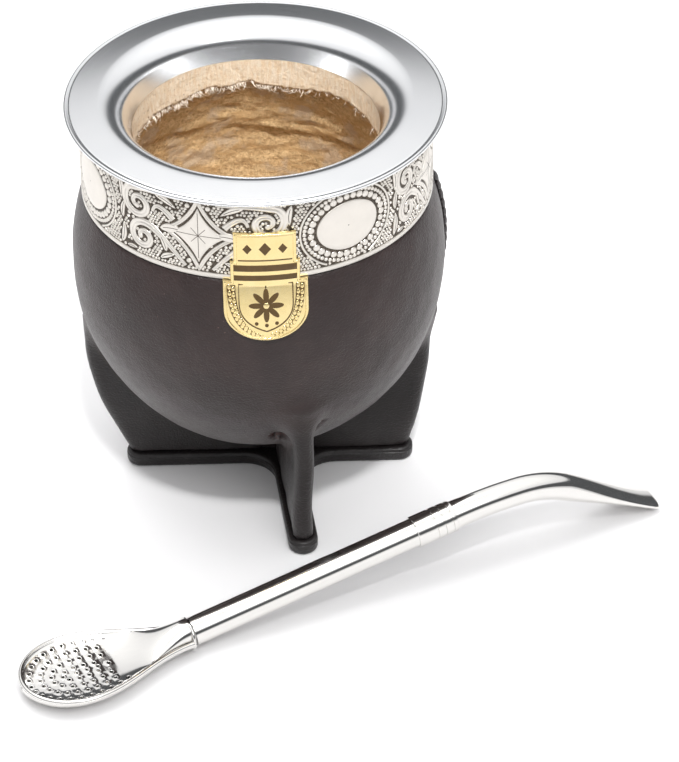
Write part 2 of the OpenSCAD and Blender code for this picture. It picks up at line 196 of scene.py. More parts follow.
class Look:
    """A material's nodes, with short ways to add and join them."""

    def __init__(self, name, **sockets):
        self.mat = bpy.data.materials.new(name)
        self.mat.use_nodes = True
        self.tree = self.mat.node_tree
        self.shader = self.tree.nodes["Principled BSDF"]
        for key, value in sockets.items():
            self.shader.inputs[key.replace("_", " ")].default_value = value
        coords = self.node("TexCoord").outputs["Object"]
        self.place = self.node("VectorMath", {0: coords, "Scale": 1 / MM}, operation="SCALE").outputs[0]

    def node(self, kind, inputs=None, **settings):
        made = self.tree.nodes.new("ShaderNode" + kind)
        for key, value in settings.items():
            setattr(made, key, value)
        for key, value in (inputs or {}).items():
            self.put(made.inputs[key], value)
        return made

    def put(self, socket, value):
        if isinstance(value, bpy.types.NodeSocket):
            self.tree.links.new(value, socket)
        else:
            socket.default_value = value

    def sums(self, operation, *values):
        return self.node("Math", dict(enumerate(values)), operation=operation).outputs[0]

    def vector(self, operation, *values, output=0):
        return self.node("VectorMath", dict(enumerate(values)), operation=operation).outputs[output]

    def stretched(self, *scale):
        """The place, scaled along each axis so that noise is drawn out."""
        return self.vector("MULTIPLY", self.place, scale)

    def noise(self, size, detail=2.0, rough=0.5, place=None, bend=0.0):
        """A noise value with blots of that size in millimetres."""
        inputs = {"Vector": place or self.place, "Scale": 1 / size, "Detail": detail,
                  "Roughness": rough, "Distortion": bend}
        return self.node("TexNoise", inputs).outputs["Fac"]

    def cells(self, size, feature="F1", place=None):
        inputs = {"Vector": place or self.place, "Scale": 1 / size}
        return self.node("TexVoronoi", inputs, feature=feature).outputs["Distance"]

    def span(self, value, low, high, to_low=0.0, to_high=1.0):
        """The value taken from one range to another, and held at its ends."""
        inputs = {0: value, 1: low, 2: high, 3: to_low, 4: to_high}
        return self.node("MapRange", inputs, interpolation_type="SMOOTHSTEP").outputs[0]

    def mix(self, share, a, b):
        made = self.node("Mix", data_type="RGBA")
        self.put(made.inputs["Factor"], share)
        self.put(made.inputs[6], rgba(a))
        self.put(made.inputs[7], rgba(b))
        return made.outputs[2]

    def axis(self, index):
        """One coordinate of the place."""
        return self.node("SeparateXYZ", {0: self.place}).outputs[index]

    def color(self, value):
        self.put(self.shader.inputs["Base Color"], rgba(value))

    def rough(self, value, amount, least):
        """Roughness that varies with the value, from the least up by the amount."""
        self.put(self.shader.inputs["Roughness"], self.sums("MULTIPLY_ADD", value, amount, least))

    def bump(self, height, depth):
        """Adds relief of that depth in millimetres on top of any added before."""
        inputs = {"Height": height, "Distance": depth * MM, "Strength": 1.0}
        socket = self.shader.inputs["Normal"]
        if socket.links:
            inputs["Normal"] = socket.links[0].from_socket
        self.put(socket, self.node("Bump", inputs).outputs[0])


def rgba(value):
    """A colour with its fourth number, or the socket itself."""
    return value if isinstance(value, bpy.types.NodeSocket) else (*value, 1.0)[:4]


def leather_look(name, dark, light, rough, grain=0.55):
    """Fine-grained leather: pores, faint creases, worn lighter patches and flecks."""
    look = Look(name, Specular_IOR_Level=0.44, Sheen_Weight=0.03, Sheen_Roughness=0.45)
    patches = look.span(look.noise(17, 4, 0.6), 0.35, 0.7)
    mottle = look.noise(2.2, 3, 0.6)
    pores = look.cells(grain)
    creases = look.cells(grain * 2.6, "DISTANCE_TO_EDGE", look.stretched(1.0, 1.0, 1.5))
    base = look.mix(look.sums("MULTIPLY", patches, mottle), dark, light)
    flecks = look.span(look.noise(0.7, 1, 0.5), 0.79, 0.84)
    look.color(look.mix(flecks, base, tuple(min(1, 4 * c) for c in light)))
    look.rough(look.noise(1.1, 3), 0.16, rough - 0.08)
    look.bump(patches, 0.12)
    look.bump(look.span(creases, 0.0, 0.12), 0.035)
    look.bump(pores, 0.07)
    return look


def cover_look():
    """The cover's brown leather, with painted shade that darkens the fins nearly to black where they stand
    out from the body.
    """
    look = leather_look("cover leather", (0.017, 0.0085, 0.0078), (0.039, 0.0225, 0.0205), 0.42)
    # painted shade: the farther a point stands out from the body's ellipsoid, the more its colour is mixed
    # towards near black, so the fins look shaded
    shift = look.vector("SUBTRACT", look.place, (0, 0, BELLY_Z))
    unit = look.vector("MULTIPLY", shift, (1 / BODY_A, 1 / BODY_A, 1 / BODY_B))
    far = look.vector("LENGTH", unit, output="Value")
    base = look.shader.inputs["Base Color"].links[0].from_socket
    look.color(look.mix(look.span(far, 1.01, 1.10, 0.0, 0.72), base, (0.006, 0.005, 0.005)))
    return look.mat


def rim_look():
    """Spun aluminium: even and polished, with faint turning lines round the axis."""
    look = Look("rim metal", Metallic=1.0)
    radius = look.vector("LENGTH", look.stretched(1, 1, 0), output="Value")
    lines = look.node("CombineXYZ", {0: radius, 1: look.axis(2)}).outputs[0]
    turning = look.noise(0.22, 3, 0.7, lines)
    cloud = look.noise(14, 3, 0.6)
    look.color(look.mix(cloud, (0.80, 0.81, 0.825), (0.88, 0.885, 0.89)))
    look.rough(turning, 0.10, 0.13)
    look.bump(turning, 0.0016)
    return look.mat


def noise_look(name, tones, tint, gloss, relief, **sockets):
    """Two tones mixed by noise, with its own noise in the roughness and in the relief."""
    look = Look(name, **sockets)
    look.color(look.mix(look.noise(*tint), *tones))
    look.rough(look.noise(*gloss[:2]), *gloss[2:])
    look.bump(look.noise(*relief[:2]), relief[2])
    return look.mat


def band_look(name, tone, rough):
    """White metal, slightly yellowed and softly worn."""
    tones = tuple(c * 0.86 for c in tone), tone
    return noise_look(name, tones, (5, 4, 0.6), (1.5, 3, 0.14, rough), (2.5, 3, 0.02), Metallic=1.0)


def ground_look():
    """The darkened ground between the raised figures of the band."""
    look = Look("band ground", Metallic=0.6)
    specks = look.span(look.noise(0.3, 2), 0.4, 0.65)
    look.color(look.mix(specks, (0.035, 0.027, 0.020), (0.17, 0.14, 0.11)))
    look.rough(specks, 0.2, 0.4)
    look.bump(specks, 0.03)
    return look.mat


def straw_look():
    """Polished steel with very faint long scratches."""
    look = Look("straw steel", Metallic=1.0)
    tone = (0.86, 0.845, 0.82)
    wipe = look.noise(1.4, 4, 0.7, look.stretched(0.12, 1.0, 1.0))
    look.color(look.mix(wipe, tuple(c * 0.93 for c in tone), tone))
    look.rough(wipe, 0.09, 0.05)
    look.bump(look.noise(7, 2), 0.012)
    return look.mat


def gourd_look():
    """Scraped dried gourd: a pale fibrous ring above a rough golden brown inside."""
    look = Look("dried gourd", Specular_IOR_Level=0.25)
    height = look.axis(2)
    ragged = look.sums("MULTIPLY_ADD", look.noise(2.6, 4, 0.65), 5.0, RING_LOW - 2.9)
    ring = look.span(look.sums("SUBTRACT", height, ragged), -0.3, 0.4)
    strands = look.noise(0.75, 4, 0.7, look.stretched(1.0, 1.0, 0.22))
    pale = look.mix(look.span(strands, 0.3, 0.7), (0.86, 0.66, 0.44), (0.97, 0.84, 0.67))
    left = look.span(look.axis(0), -8.0, -30.0)
    speck = look.span(look.noise(0.8, 3, 0.7), 0.60, 0.70)
    pale = look.mix(look.sums("MULTIPLY", speck, look.sums("MULTIPLY_ADD", left, 0.75, 0.1)), pale,
                    (0.30, 0.16, 0.07))
    crumbs = look.noise(1.1, 6, 0.75)
    bands = look.noise(5.0, 4, 0.65, look.stretched(0.5, 0.5, 1.6), 0.8)
    brown = look.mix(look.span(crumbs, 0.3, 0.7), (0.42, 0.25, 0.11), (0.85, 0.62, 0.34))
    brown = look.mix(look.span(bands, 0.42, 0.68), brown, (0.62, 0.40, 0.19))
    grey = look.sums("MULTIPLY", look.span(look.noise(9, 3, 0.6), 0.46, 0.62), 0.55)
    brown = look.mix(grey, brown, (0.58, 0.47, 0.36))
    dark = look.span(look.noise(1.1, 4, 0.7), 0.62, 0.72)
    brown = look.mix(look.sums("MULTIPLY", dark, 0.5), brown, (0.12, 0.06, 0.025))
    look.color(look.mix(ring, brown, pale))
    look.rough(crumbs, 0.3, 0.6)
    look.bump(look.mix(ring, bands, strands), 0.4)
    look.bump(crumbs, 0.7)
    look.bump(look.noise(0.45, 3, 0.7), 0.14)
    return look.mat


def torn_look():
    """The reddish raw edge where the leather is torn beside the front fin."""
    look = Look("torn leather", Specular_IOR_Level=0.6)
    raw = look.span(look.noise(0.8, 4, 0.7), 0.4, 0.65)
    look.color(look.mix(raw, (0.006, 0.004, 0.004), (0.060, 0.016, 0.012)))
    look.rough(raw, 0.3, 0.3)
    look.bump(look.noise(0.9, 4, 0.7), 0.4)
    return look.mat


# Gourd and rim

ANGLES = around(320)


def ring_edge(angles):
    """Height of the pale ring's ragged lower edge at each angle."""
    way = np.stack([30 * np.cos(angles), 30 * np.sin(angles), 0 * angles], -1)
    return RING_LOW + 0.9 * ripples(way, 26, 3) + 0.5 * ripples(way, 6, 4) + 0.2 * ripples(way, 2, 5)


def inner_wall():
    """The scraped ring, the ragged step below it and the rough cavity, from the top down."""
    ring = np.linspace(RING_TOP, RING_LOW - 4, 40)
    upper_b = (RING_LOW - BELLY_Z) / math.sqrt(1 - ((RING_R + RING_STEP) / CAVITY_A) ** 2)
    start = math.asin((RING_LOW - 4.4 - BELLY_Z) / upper_b)
    upper = BELLY_Z + upper_b * np.sin(np.linspace(start, 0, 34))
    lower = BELLY_Z - CAVITY_B * np.sin(np.linspace(0.04, math.pi / 2 - 0.01, 40))
    z = np.concatenate([ring, upper, lower])
    b = np.where(z > BELLY_Z, upper_b, CAVITY_B)
    wall = CAVITY_A * np.sqrt(np.clip(1 - ((z - BELLY_Z) / b) ** 2, 0, None))
    wall = np.where(z > RING_LOW - 1, np.maximum(wall, RING_R + RING_STEP), wall)
    edge = ring_edge(ANGLES)
    open_up = smooth((edge[None] + 0.2 - z[:, None]) / 0.9)
    r = RING_R + (wall[:, None] - RING_R) * open_up
    points = np.stack([r * np.cos(ANGLES), r * np.sin(ANGLES), z[:, None] + 0 * r], -1)
    flat = points.reshape(-1, 3) * (1, 1, 2.6)
    rough = 0.22 * ripples(flat, 15, 7) + 0.15 * ripples(flat, 6, 8) + 0.13 * ripples(flat, 2.4, 9)
    rough = rough.reshape(r.shape) * open_up
    shelf = 0.9 * smooth((np.sin(ANGLES - 2.4) * 5 + 88 - z[:, None]) / 1.4) * open_up
    fine = 0.07 * ripples(points.reshape(-1, 3) * (1, 1, 0.3), 1.6, 10).reshape(r.shape)
    fine[0] = 0
    calm = 1 - smooth((50 - z[:, None]) / 26) * 0.6
    push = (rough - 0.3 + shelf * smooth((z[:, None] - 60) / 20) + fine) * calm
    lean = np.clip(r / RING_R, 0, 1)
    points[..., 0] += push * np.cos(ANGLES) * lean
    points[..., 1] += push * np.sin(ANGLES) * lean
    return points


def make_gourd():
    """The whole shell: the smooth outside, the seat of the rim and the rough inside."""
    b = BODY_B - LEATHER_T - GAP
    a = BODY_A - LEATHER_T - GAP
    high = math.degrees(math.asin((BAND_LOW - GAP - BELLY_Z) / b))
    outer = arc(a, b, 0, BELLY_Z, -89.9, high, 24)
    neck = BAND_R - BAND_T - GAP
    inset = EDGE_T + GAP, RIM_T + GAP
    top = funnel(FACE_R - MOUTH_R - inset[0], FUNNEL_D - inset[1], SHOULDER_R - inset[1], 8)
    seat = [(neck, BAND_LOW - GAP), (neck, TOTAL_H - RIM_T - GAP), *top,
            (MOUTH_R + EDGE_T + GAP, RING_TOP)]
    shell = np.concatenate([turned(np.concatenate([outer, seat]), ANGLES), inner_wall()])
    piece("gourd_shell", Shape().grid(shell), [GOURD], ["calabash"], sharp=0)


def make_fibres():
    """Torn white fibres that hang from the ring's edge, most of them at the back and left."""
    rng = np.random.default_rng(21)
    shape = Shape()
    for i in range(420):
        angle = rng.normal(2.15, 0.62) if i < 340 else rng.uniform(0, 2 * math.pi)
        edge = ring_edge(np.array([angle]))[0] + rng.uniform(-0.9, 0.5)
        length, width = rng.uniform(0.6, 2.2), rng.uniform(0.05, 0.13)
        out = np.array([math.cos(angle), math.sin(angle), 0])
        side = np.array([-out[1], out[0], 0])
        start = out * (RING_R + 0.25) + (0, 0, edge)
        curl, bow = rng.normal(0, 0.7), rng.uniform(0.1, 0.9)
        rows = []
        for u in np.linspace(0, 1, 6):
            drop = np.array([0, 0, -1]) * u * (1 - 0.4 * u)
            mid = start + length * (side * curl * u * u - out * bow * u + drop)
            w = width * (1 - 0.85 * u)
            rows.append([mid + side * w, mid - side * w, mid - out * w])
        shape.grid(rows).cap(rows[0]).cap(rows[-1])
    piece("gourd_fibres", shape, [FIBRE])


def funnel(w, d, r, count):
    """The funnel's profile from the face to the mouth: a round shoulder, then a straight cone."""
    last = math.pi / 2 + math.atan2(d - r, w) - math.acos(r / math.hypot(w, d - r))
    t = np.linspace(0, last, count)
    bend = np.stack([FACE_R - r * np.sin(t), FUNNEL_Z + d - r + r * np.cos(t)], -1)
    return np.concatenate([bend, np.linspace(bend[-1], (FACE_R - w, FUNNEL_Z), 12)[1:]])


def make_rim():
    """The spun rim: a lip bead behind a fine groove, a crowned face and the funnel."""
    lip = RIM_LIP
    w = FACE_R - MOUTH_R
    under = funnel(w - EDGE_T, FUNNEL_D - RIM_T, SHOULDER_R - RIM_T, 24)[::-1]
    bead = arc(lip, lip, RIM_R - lip, TOTAL_H - RIM_T + lip, -90, 105, 24)
    groove = RIM_R - 2 * lip - 0.3
    face = np.linspace(groove, FACE_R + 0.5, 26)
    crown = TOTAL_H - 0.03 - 0.62 * ((face - FACE_R - 0.5) / (groove - FACE_R)) ** 1.1
    slope = funnel(w, FUNNEL_D, SHOULDER_R, 40)[1:] - (0, 0.03)
    step = [(groove + 0.32, crown[0] - 0.12), (groove + 0.16, crown[0] - 0.15)]
    profile = np.concatenate([under, bead, step, np.stack([face, crown], -1), slope])
    points = turned(profile, around(288))
    piece("rim_spun", Shape().grid(points, wrap_rows=True), [RIM], ["rim"], sharp=50)


# Band: the figures are drawn flat, s along the band and z up, then laid round it

FIELD_R = BAND_R - FIELD_DEPTH
FIELD_MID = (BAND_LOW + STRIP_LOW + BAND_TOP - STRIP_TOP) / 2
FIELD_HALF = (BAND_TOP - STRIP_TOP - BAND_LOW - STRIP_LOW) / 2


def on_band(flat, lift):
    """Points of the flat drawing, s from the front and z from the field's middle, on the band."""
    flat = np.asarray(flat, float)
    r = FIELD_R + np.broadcast_to(lift, flat.shape[:-1])
    turn = flat[..., 0] / FIELD_R
    return np.stack([r * np.sin(turn), -r * np.cos(turn), FIELD_MID + flat[..., 1]], -1)


class Relief:
    """Raised figures on a surface, and the places that they take up. lay puts a flat
    drawing and a lift on that surface, and high is the figures' height."""

    def __init__(self, lay, high):
        self.shape, self.taken, self.lay, self.high = Shape(), [], lay, high

    def line(self, path, width, look=1):
        """A fine line drawn on top of a figure."""
        side = leftwards(np.gradient(path, axis=0)) * width / 2
        rows = np.stack([self.lay(path + k * side, self.high * 1.04) for k in (1, -1)], 1)
        self.shape.grid(rows, wrap_cols=False, look=look)

    def slab(self, outline, centre, high=1.0, look=0):
        """A filled figure with a soft edge, whose outline is seen whole from its centre."""
        outline, centre = np.asarray(outline, float), np.asarray(centre, float)
        size = np.abs(outline - centre).max()
        soft = min(0.3, 0.22 / size)
        shares = [1, 1 - 0.35 * soft, 1 - soft, 0.72, 0.45, 0.2, 0.02]
        lifts = [0, 0.75, 1, 1, 1, 1, 1]
        rows = [self.lay(centre + (outline - centre) * k, self.high * high * f)
                for k, f in zip(shares, lifts)]
        self.shape.grid(rows[::-1] if area(outline) < 0 else rows, look=look)
        for k in np.linspace(0.05, 1, 9):
            spots = centre + (outline - centre) * k
            self.taken.append(np.column_stack([spots, np.full(len(outline), 0.25)]))

    def bead(self, s, z, r, sides=8, tall=1.0, look=0):
        t = around(sides)
        ring = np.stack([np.cos(t), np.sin(t) * tall], -1)
        rows = [self.lay((s, z) + ring * r * k, self.high * f)
                for k, f in ((1, 0), (0.95, 0.7), (0.7, 1.0), (0.05, 1.1))]
        self.shape.grid(rows, look=look)
        self.taken.append(np.array([[s, z, r]]))

    def ribbon(self, path, widths, groove=True, look=0):
        """A raised band along a path, with a fine groove down its middle."""
        path = np.asarray(path, float)
        widths = np.broadcast_to(widths, len(path))
        side = leftwards(np.gradient(path, axis=0))
        dip = 0.15 if groove else 1.0
        across = [(0.5, 0), (0.45, 0.9), (0.06, 1), (0, dip), (-0.06, 1), (-0.45, 0.9), (-0.5, 0)]
        rows = np.stack([self.lay(path + side * (widths * k)[:, None], self.high * f)
                         for k, f in across], 1)
        self.shape.grid(rows, wrap_cols=False, look=look)
        self.taken.append(np.column_stack([path, widths / 2]))

    def fill(self, r, pitch, clear):
        """Small beads in close rows wherever the ground is still bare."""
        taken = np.concatenate(self.taken)
        length = 2 * math.pi * FIELD_R
        rng = np.random.default_rng(5)
        rows = np.arange(-FIELD_HALF + r + 0.12, FIELD_HALF - r, pitch * 0.87)
        count = round(length / pitch)
        for k, z in enumerate(rows):
            s = -length / 2 + (np.arange(count) + 0.5 * (k % 2)) * length / count
            spots = np.stack([s, np.full(count, z)], -1) + rng.normal(0, 0.07, (count, 2))
            near = taken[np.abs(taken[:, 1] - z) < 4]
            apart = (spots[:, None, 0] - near[None, :, 0] + length / 2) % length - length / 2
            far = np.hypot(apart, spots[:, None, 1] - near[None, :, 1]) - near[None, :, 2]
            for s, z in spots[far.min(1) > r + clear]:
                if abs(z) < FIELD_HALF - r * 0.8:
                    self.bead(s, z, r * rng.uniform(0.85, 1.1), 6)


def area(outline):
    x, y = np.asarray(outline).T
    return 0.5 * float(np.sum(x * np.roll(y, -1) - np.roll(x, -1) * y))


def spiral(centre, r0, r1, start, turns, count=34):
    """Points of a spiral from radius r0 to r1, with angles in degrees."""
    u = np.linspace(0, 1, count)
    t = np.radians(start + 360 * turns * u)
    r = r0 + (r1 - r0) * u ** 0.8
    return np.stack([centre[0] + r * np.cos(t), centre[1] + r * np.sin(t)], -1)


def curve(a, b, c, count=18):
    """Points of a simple curve from a to c that bends towards b."""
    u = np.linspace(0, 1, count)[:, None]
    a, b, c = map(np.asarray, (a, b, c))
    return (1 - u) ** 2 * a + 2 * u * (1 - u) * b + u * u * c


def leaf(relief, base, tip, width, bend=0.0):
    """A pointed leaf with a centre vein."""
    base, tip = np.asarray(base, float), np.asarray(tip, float)
    way = tip - base
    side = np.array([-way[1], way[0]]) / np.linalg.norm(way)
    u = np.linspace(0, 1, 13)[:, None]
    mid = base + way * u + side * bend * np.sin(math.pi * u)
    wide = width / 2 * np.sin(math.pi * u ** 0.85) ** 0.8
    half = np.concatenate([mid + side * wide, (mid - side * wide)[-2:0:-1]])
    relief.slab(half[::-1], mid[6])
    relief.line(mid[2:11], 0.18)


def star(relief, s):
    """A four-pointed figure with hollow sides, a double outline and fine cross lines."""
    def outline(a, b, count=9):
        quarter = []
        tips = [(a, 0), (0, b), (-a, 0), (0, -b)]
        for p, q in zip(tips, tips[1:] + tips[:1]):
            bend = (0.30 * (p[0] + q[0]), 0.30 * (p[1] + q[1]))
            quarter.append(curve(p, bend, q, count)[:-1])
        return np.concatenate(quarter) + (s, 0)
    relief.ribbon(looped(outline(9.4, 10.4, 12)), 1.1)
    relief.slab(outline(7.3, 8.2), (s, 0), 0.95)
    for x, z in ((6, 0), (0, 6.8), (1.9, 2.1), (1.9, -2.1)):
        relief.line(np.linspace((-x, -z), (x, z), 9) + (s, 0), 0.15)


def oval(relief, s):
    """The plain oval field with its rings of beads."""
    t = around(48)
    ring = np.stack([np.cos(t), np.sin(t)], -1)
    relief.slab((s, 0) + ring * (8.9, 7.1), (s, 0))
    for a, b, r, count in ((10.5, 8.55, 0.93, 31), (12.2, 10.1, 0.56, 58)):
        for angle in even_angles(a, b, count):
            z = b * math.sin(angle)
            if abs(z) < FIELD_HALF - r * 0.75:
                relief.bead(s + a * math.cos(angle), z, r * (1 + 0.06 * math.sin(7 * angle)), 10)
    for middle in (180, 0):
        relief.ribbon(arc(13.3, 11.6, s, 0, middle - 62, middle + 62, 26), 0.55, False)


def even_angles(a, b, count):
    """Angles that put that many points evenly round an ellipse."""
    t = np.linspace(0, 2 * math.pi, 721)
    steps = np.hypot(np.diff(a * np.cos(t)), np.diff(b * np.sin(t)))
    way = np.concatenate([[0], np.cumsum(steps)])
    return np.interp(np.arange(count) / count * way[-1], way, t)


def scrolls(relief, s, gap, side):
    """The scrolls and leaves from an oval at s to the star at the distance gap on one side."""
    def at(points):
        points = np.array(points, float)
        points[..., 0] = s + side * (14 + (points[..., 0] - 14) * (gap - 14) / 24)
        return points
    upper = np.concatenate([curve((33.5, 9.8), (24, 10.4), (18.2, 8.6), 12)[:-1],
                            spiral((21.3, 4.6), 4.9, 1.0, 128, 1.35)])
    lower = np.concatenate([curve((34.5, -9.9), (29, -3.2), (25.4, -1.2), 10)[:-1],
                            spiral((22.6, -5.0), 4.7, 0.9, 55, 1.4)])
    for path in (upper, lower):
        width = np.interp(np.linspace(0, 1, len(path)), [0, 0.2, 0.6, 1], [0.9, 2.2, 1.9, 1.1])
        relief.ribbon(at(path), width)
        relief.bead(*at(path[-1]), 0.75, 10)
    rim = curve((31.5, 3.0), (26.8, 8.2), (25.8, 3.8), 14)
    relief.ribbon(at(rim), np.linspace(1.8, 0.8, 14))
    leaves = (((15.4, -10.0), (16.2, -3.4), 1.7, -0.5), ((15.3, 9.6), (15.8, 3.6), 1.7, 0.5),
              ((16.0, -2.2), (17.0, 3.6), 1.5, 0.5), ((27.8, -0.4), (33.8, 0.5), 2.5, 0.4),
              ((26.6, 9.3), (32.4, 6.7), 1.6, 0.5), ((29.4, -7.2), (27.6, -2.6), 1.6, -0.4),
              ((17.2, -9.9), (20.6, -9.6), 1.0, 0.2), ((27.6, -9.6), (31.8, -7.4), 1.5, 0.3))
    for base, tip, width, bend in leaves:
        leaf(relief, at(base), at(tip), width, bend * side)
    for x, z, r in ((18.3, 0.4, 0.6), (19.6, -0.5, 0.5), (17.9, -1.0, 0.5), (35.4, 8.4, 0.7),
                    (36.2, 6.9, 0.5), (35.4, -8.2, 0.7), (36.2, -6.8, 0.5)):
        relief.bead(*at((x, z)), r, 10)


def make_band():
    """The band's plain strips and dark ground, and the raised figures on it."""
    low, high = BAND_LOW + STRIP_LOW, BAND_TOP - STRIP_TOP
    inner = BAND_R - BAND_T
    strips = [(inner, BAND_LOW), (BAND_R - 0.15, BAND_LOW), (BAND_R, BAND_LOW + 0.2),
              (BAND_R, low - 0.45), (BAND_R - 0.12, low - 0.38), (BAND_R, low - 0.3),
              (BAND_R, low - 0.06), (FIELD_R, low)]
    tops = [(FIELD_R, high), (BAND_R, high + 0.06), (BAND_R, BAND_TOP - 0.05),
            (BAND_R - 0.1, BAND_TOP), (inner, BAND_TOP)]
    angles = around(256)
    shape = Shape()
    shape.grid(turned(strips, angles)).grid(turned(tops, angles))
    shape.grid(turned([(FIELD_R, low), (FIELD_R, high)], angles), look=1)
    shape.grid(turned([(inner, BAND_TOP), (inner, BAND_LOW)], angles))
    piece("band_sheet", shape, [BAND, GROUND], ["band"])
    relief = Relief(on_band, FIELD_DEPTH)
    ovals = np.radians([29.5, 117.0, 204.5, 292.0])
    gaps = np.radians([87.5, 87.5, 87.5, 97.5]) * FIELD_R / 2
    for k, turn in enumerate(ovals):
        s = ((turn + math.pi) % (2 * math.pi) - math.pi) * FIELD_R
        oval(relief, s)
        scrolls(relief, s, gaps[k], 1)
        scrolls(relief, s, gaps[k - 1], -1)
        star(relief, s + gaps[k])
    relief.fill(0.45, 0.96, -0.06)
    piece("band_relief", relief.shape, [FIGURE, GROUND], sharp=0)


# Badge: drawn flat, x from its middle and height down from its upper edge

BADGE_TOP = BAND_TOP - 9.5
BADGE_H, BADGE_T = 30.6, 1.0
PLATE_T = 0.82
BADGE_TURN = math.radians(1.8)
PANEL_H, BAR_H, ROUND_H = 8.6, 6.0, 8.0
TOP_HALF, BAR_HALF, SHIELD_HALF = 7.95, 8.85, 10.85


def on_badge(flat, lift):
    """Points of the flat drawing on the plate, which is bent over the band and the cover."""
    flat = np.asarray(flat, float)
    z = BADGE_TOP + flat[..., 1]
    r = np.maximum(cover_r(z), BAND_R) + GAP + lift
    turn = np.arcsin(flat[..., 0] / r) + BADGE_TURN
    return np.stack([r * np.sin(turn), -r * np.cos(turn), z], -1)


def badge_outline(inset):
    """The plate's outline, counterclockwise from its upper right corner, moved inwards."""
    top, bar, shield = TOP_HALF - inset, BAR_HALF - inset, SHIELD_HALF - inset
    panel_low, bar_low = -PANEL_H - inset, -PANEL_H - BAR_H - inset
    corners = [(top, -inset), (-top, -inset), (-top, panel_low), (-bar, panel_low),
               (-bar, bar_low), (-shield, bar_low)]
    foot = arc(shield, ROUND_H - inset, 0, -BADGE_H + ROUND_H, 180, 360, 33)
    right = [(-x, y) for x, y in corners[:1:-1]]
    outline = np.array([*corners, *foot, *right])
    steps = [np.linspace(a, b, max(2, int(np.hypot(*(b - a)) / 0.7)), endpoint=False)
             for a, b in zip(outline, np.roll(outline, -1, 0))]
    return np.concatenate(steps)


def make_badge():
    """A gold plate with dark enamel: plain bars, a row of lozenges and a plain rosette."""
    centre = np.array([0, -PANEL_H - BAR_H - 1.5])
    rim = badge_outline(0)
    shares = [(1, 0), (1, 0.55), (0.992, 0.75)]
    shares += [(k, PLATE_T) for k in (0.975, 0.8, 0.6, 0.4, 0.2, 0.02)]
    rows = [on_badge(centre + (rim - centre) * k, lift) for k, lift in shares]
    shape = Shape().grid(rows)
    shape.grid([on_badge(centre + (rim - centre) * k, 0.0) for k in (0.02, 0.35, 0.7, 1)])
    piece("badge_plate", shape, [GOLD], ["badge"])

    def raised(flat, lift):
        return on_badge(flat, PLATE_T - 0.01 + lift)
    relief = Relief(raised, BADGE_T - PLATE_T - 0.02)
    relief.ribbon(looped(badge_outline(0.5)), 0.62, False)
    for x, size in ((-4.5, 1.5), (0, 2.0), (4.5, 1.5)):
        lozenge = np.array([(size * 0.8, 0), (0, size), (-size * 0.8, 0), (0, -size)])
        relief.slab(np.concatenate([np.linspace(a, b, 5)[:-1] for a, b in
                                    zip(lozenge, np.roll(lozenge, -1, 0))]) + (x, -4.6), (x, -4.6), 0.5, 1)
    for half, top, low in ((6.9, -7.9, -8.25), (8.1, -9.5, -11.4), (8.1, -12.6, -14.2)):
        bar = np.concatenate([np.stack([np.linspace(half, -half, 25), np.full(25, top)], -1),
                              np.stack([np.linspace(-half, half, 25), np.full(25, low)], -1)])
        relief.slab(bar, (0, (top + low) / 2), 0.5, 1)
    relief.ribbon(looped(shield_field(6.9, -15.4, -27.9)), 0.3, False, look=1)
    rosette = (0, -20.9)
    for k in range(8):
        turn = math.radians(45 * k)
        petal = arc(2.0, 0.75, 0, 0, 0, 345, 20) + (2.5, 0)
        spin = np.array([[math.cos(turn), -math.sin(turn)], [math.sin(turn), math.cos(turn)]])
        relief.slab(petal @ spin.T + rosette, np.array([2.5, 0]) @ spin.T + rosette, 0.5, 1)
    relief.bead(*rosette, 0.8, 16)
    for k in range(3):
        relief.bead((k - 1) * 2.6, -26.2 + 0.5 * (k != 1), 0.5, 12, look=1)
    for side in (-1, 1):
        near = curve((side * 7.7, -15.6), (side * 7.8, -26.5), (side * 1.2, -29.2), 16)
        far = curve((side * 3.4, -29.1), (side * 10.2, -26.2), (side * 9.9, -15.6), 16)[::-1]
        rows = [raised(near + (far - near) * u, 0.02) for u in np.linspace(0, 1, 4)]
        relief.shape.grid(rows if side > 0 else rows[::-1], wrap_cols=False, look=1)
        path = curve((side * 8.8, -16.2), (side * 8.9, -26.2), (side * 1.9, -29.1), 13)
        for x, y in path:
            relief.bead(x - 0.48, y, 0.5, 10, 1.35)
            relief.bead(x + 0.52, y - 0.35, 0.5, 10, 1.35)
    piece("badge_figures", relief.shape, [GOLD, ENAMEL], sharp=0)


def shield_field(half, top, low):
    """A plain shield outline with a rounded point, counterclockwise."""
    right = curve((half, top - 5), (half, low + 2.2), (0, low), 14)
    left = right[::-1] * (-1, 1)
    return np.concatenate([[(half, top), (-half, top)], left[::-1][:-1], right[::-1]])


# Leather: one skin from a distance field, so that the fins flow out of the body

FIN_T, FIN_TOP, FIN_WIDE, FIN_CURVE = 5.6, 50.0, 40.0, 1.7
FRONT_SHIFT, FRONT_TURN = 5.8, 6.0
FINS = {"front": (FRONT_TURN - 90, 44.2, 46.0, FRONT_SHIFT), "left": (180, 36.8, 47.9, 0.0),
        "right": (0, 40.4, 46.2, 0.0), "rear": (FRONT_TURN + 90, 44.2, 46.0, -FRONT_SHIFT)}
SKIN_STEP = 1.25


def fin_out(z, foot, reach):
    """Reach of a fin's nose at height z."""
    u = np.clip((z - SOLE_T) / (FIN_WIDE - SOLE_T), 0, 1)
    v = np.clip((z - FIN_WIDE) / (FIN_TOP - FIN_WIDE), 0, 1)
    low = foot + (reach - foot) * (1 - (1 - u) ** FIN_CURVE)
    high = reach - (reach - cover_r(FIN_TOP) - 0.5) * v * v
    return np.where(z < FIN_WIDE, low, high) - 1.6 * np.clip(z - FIN_TOP, 0, None)


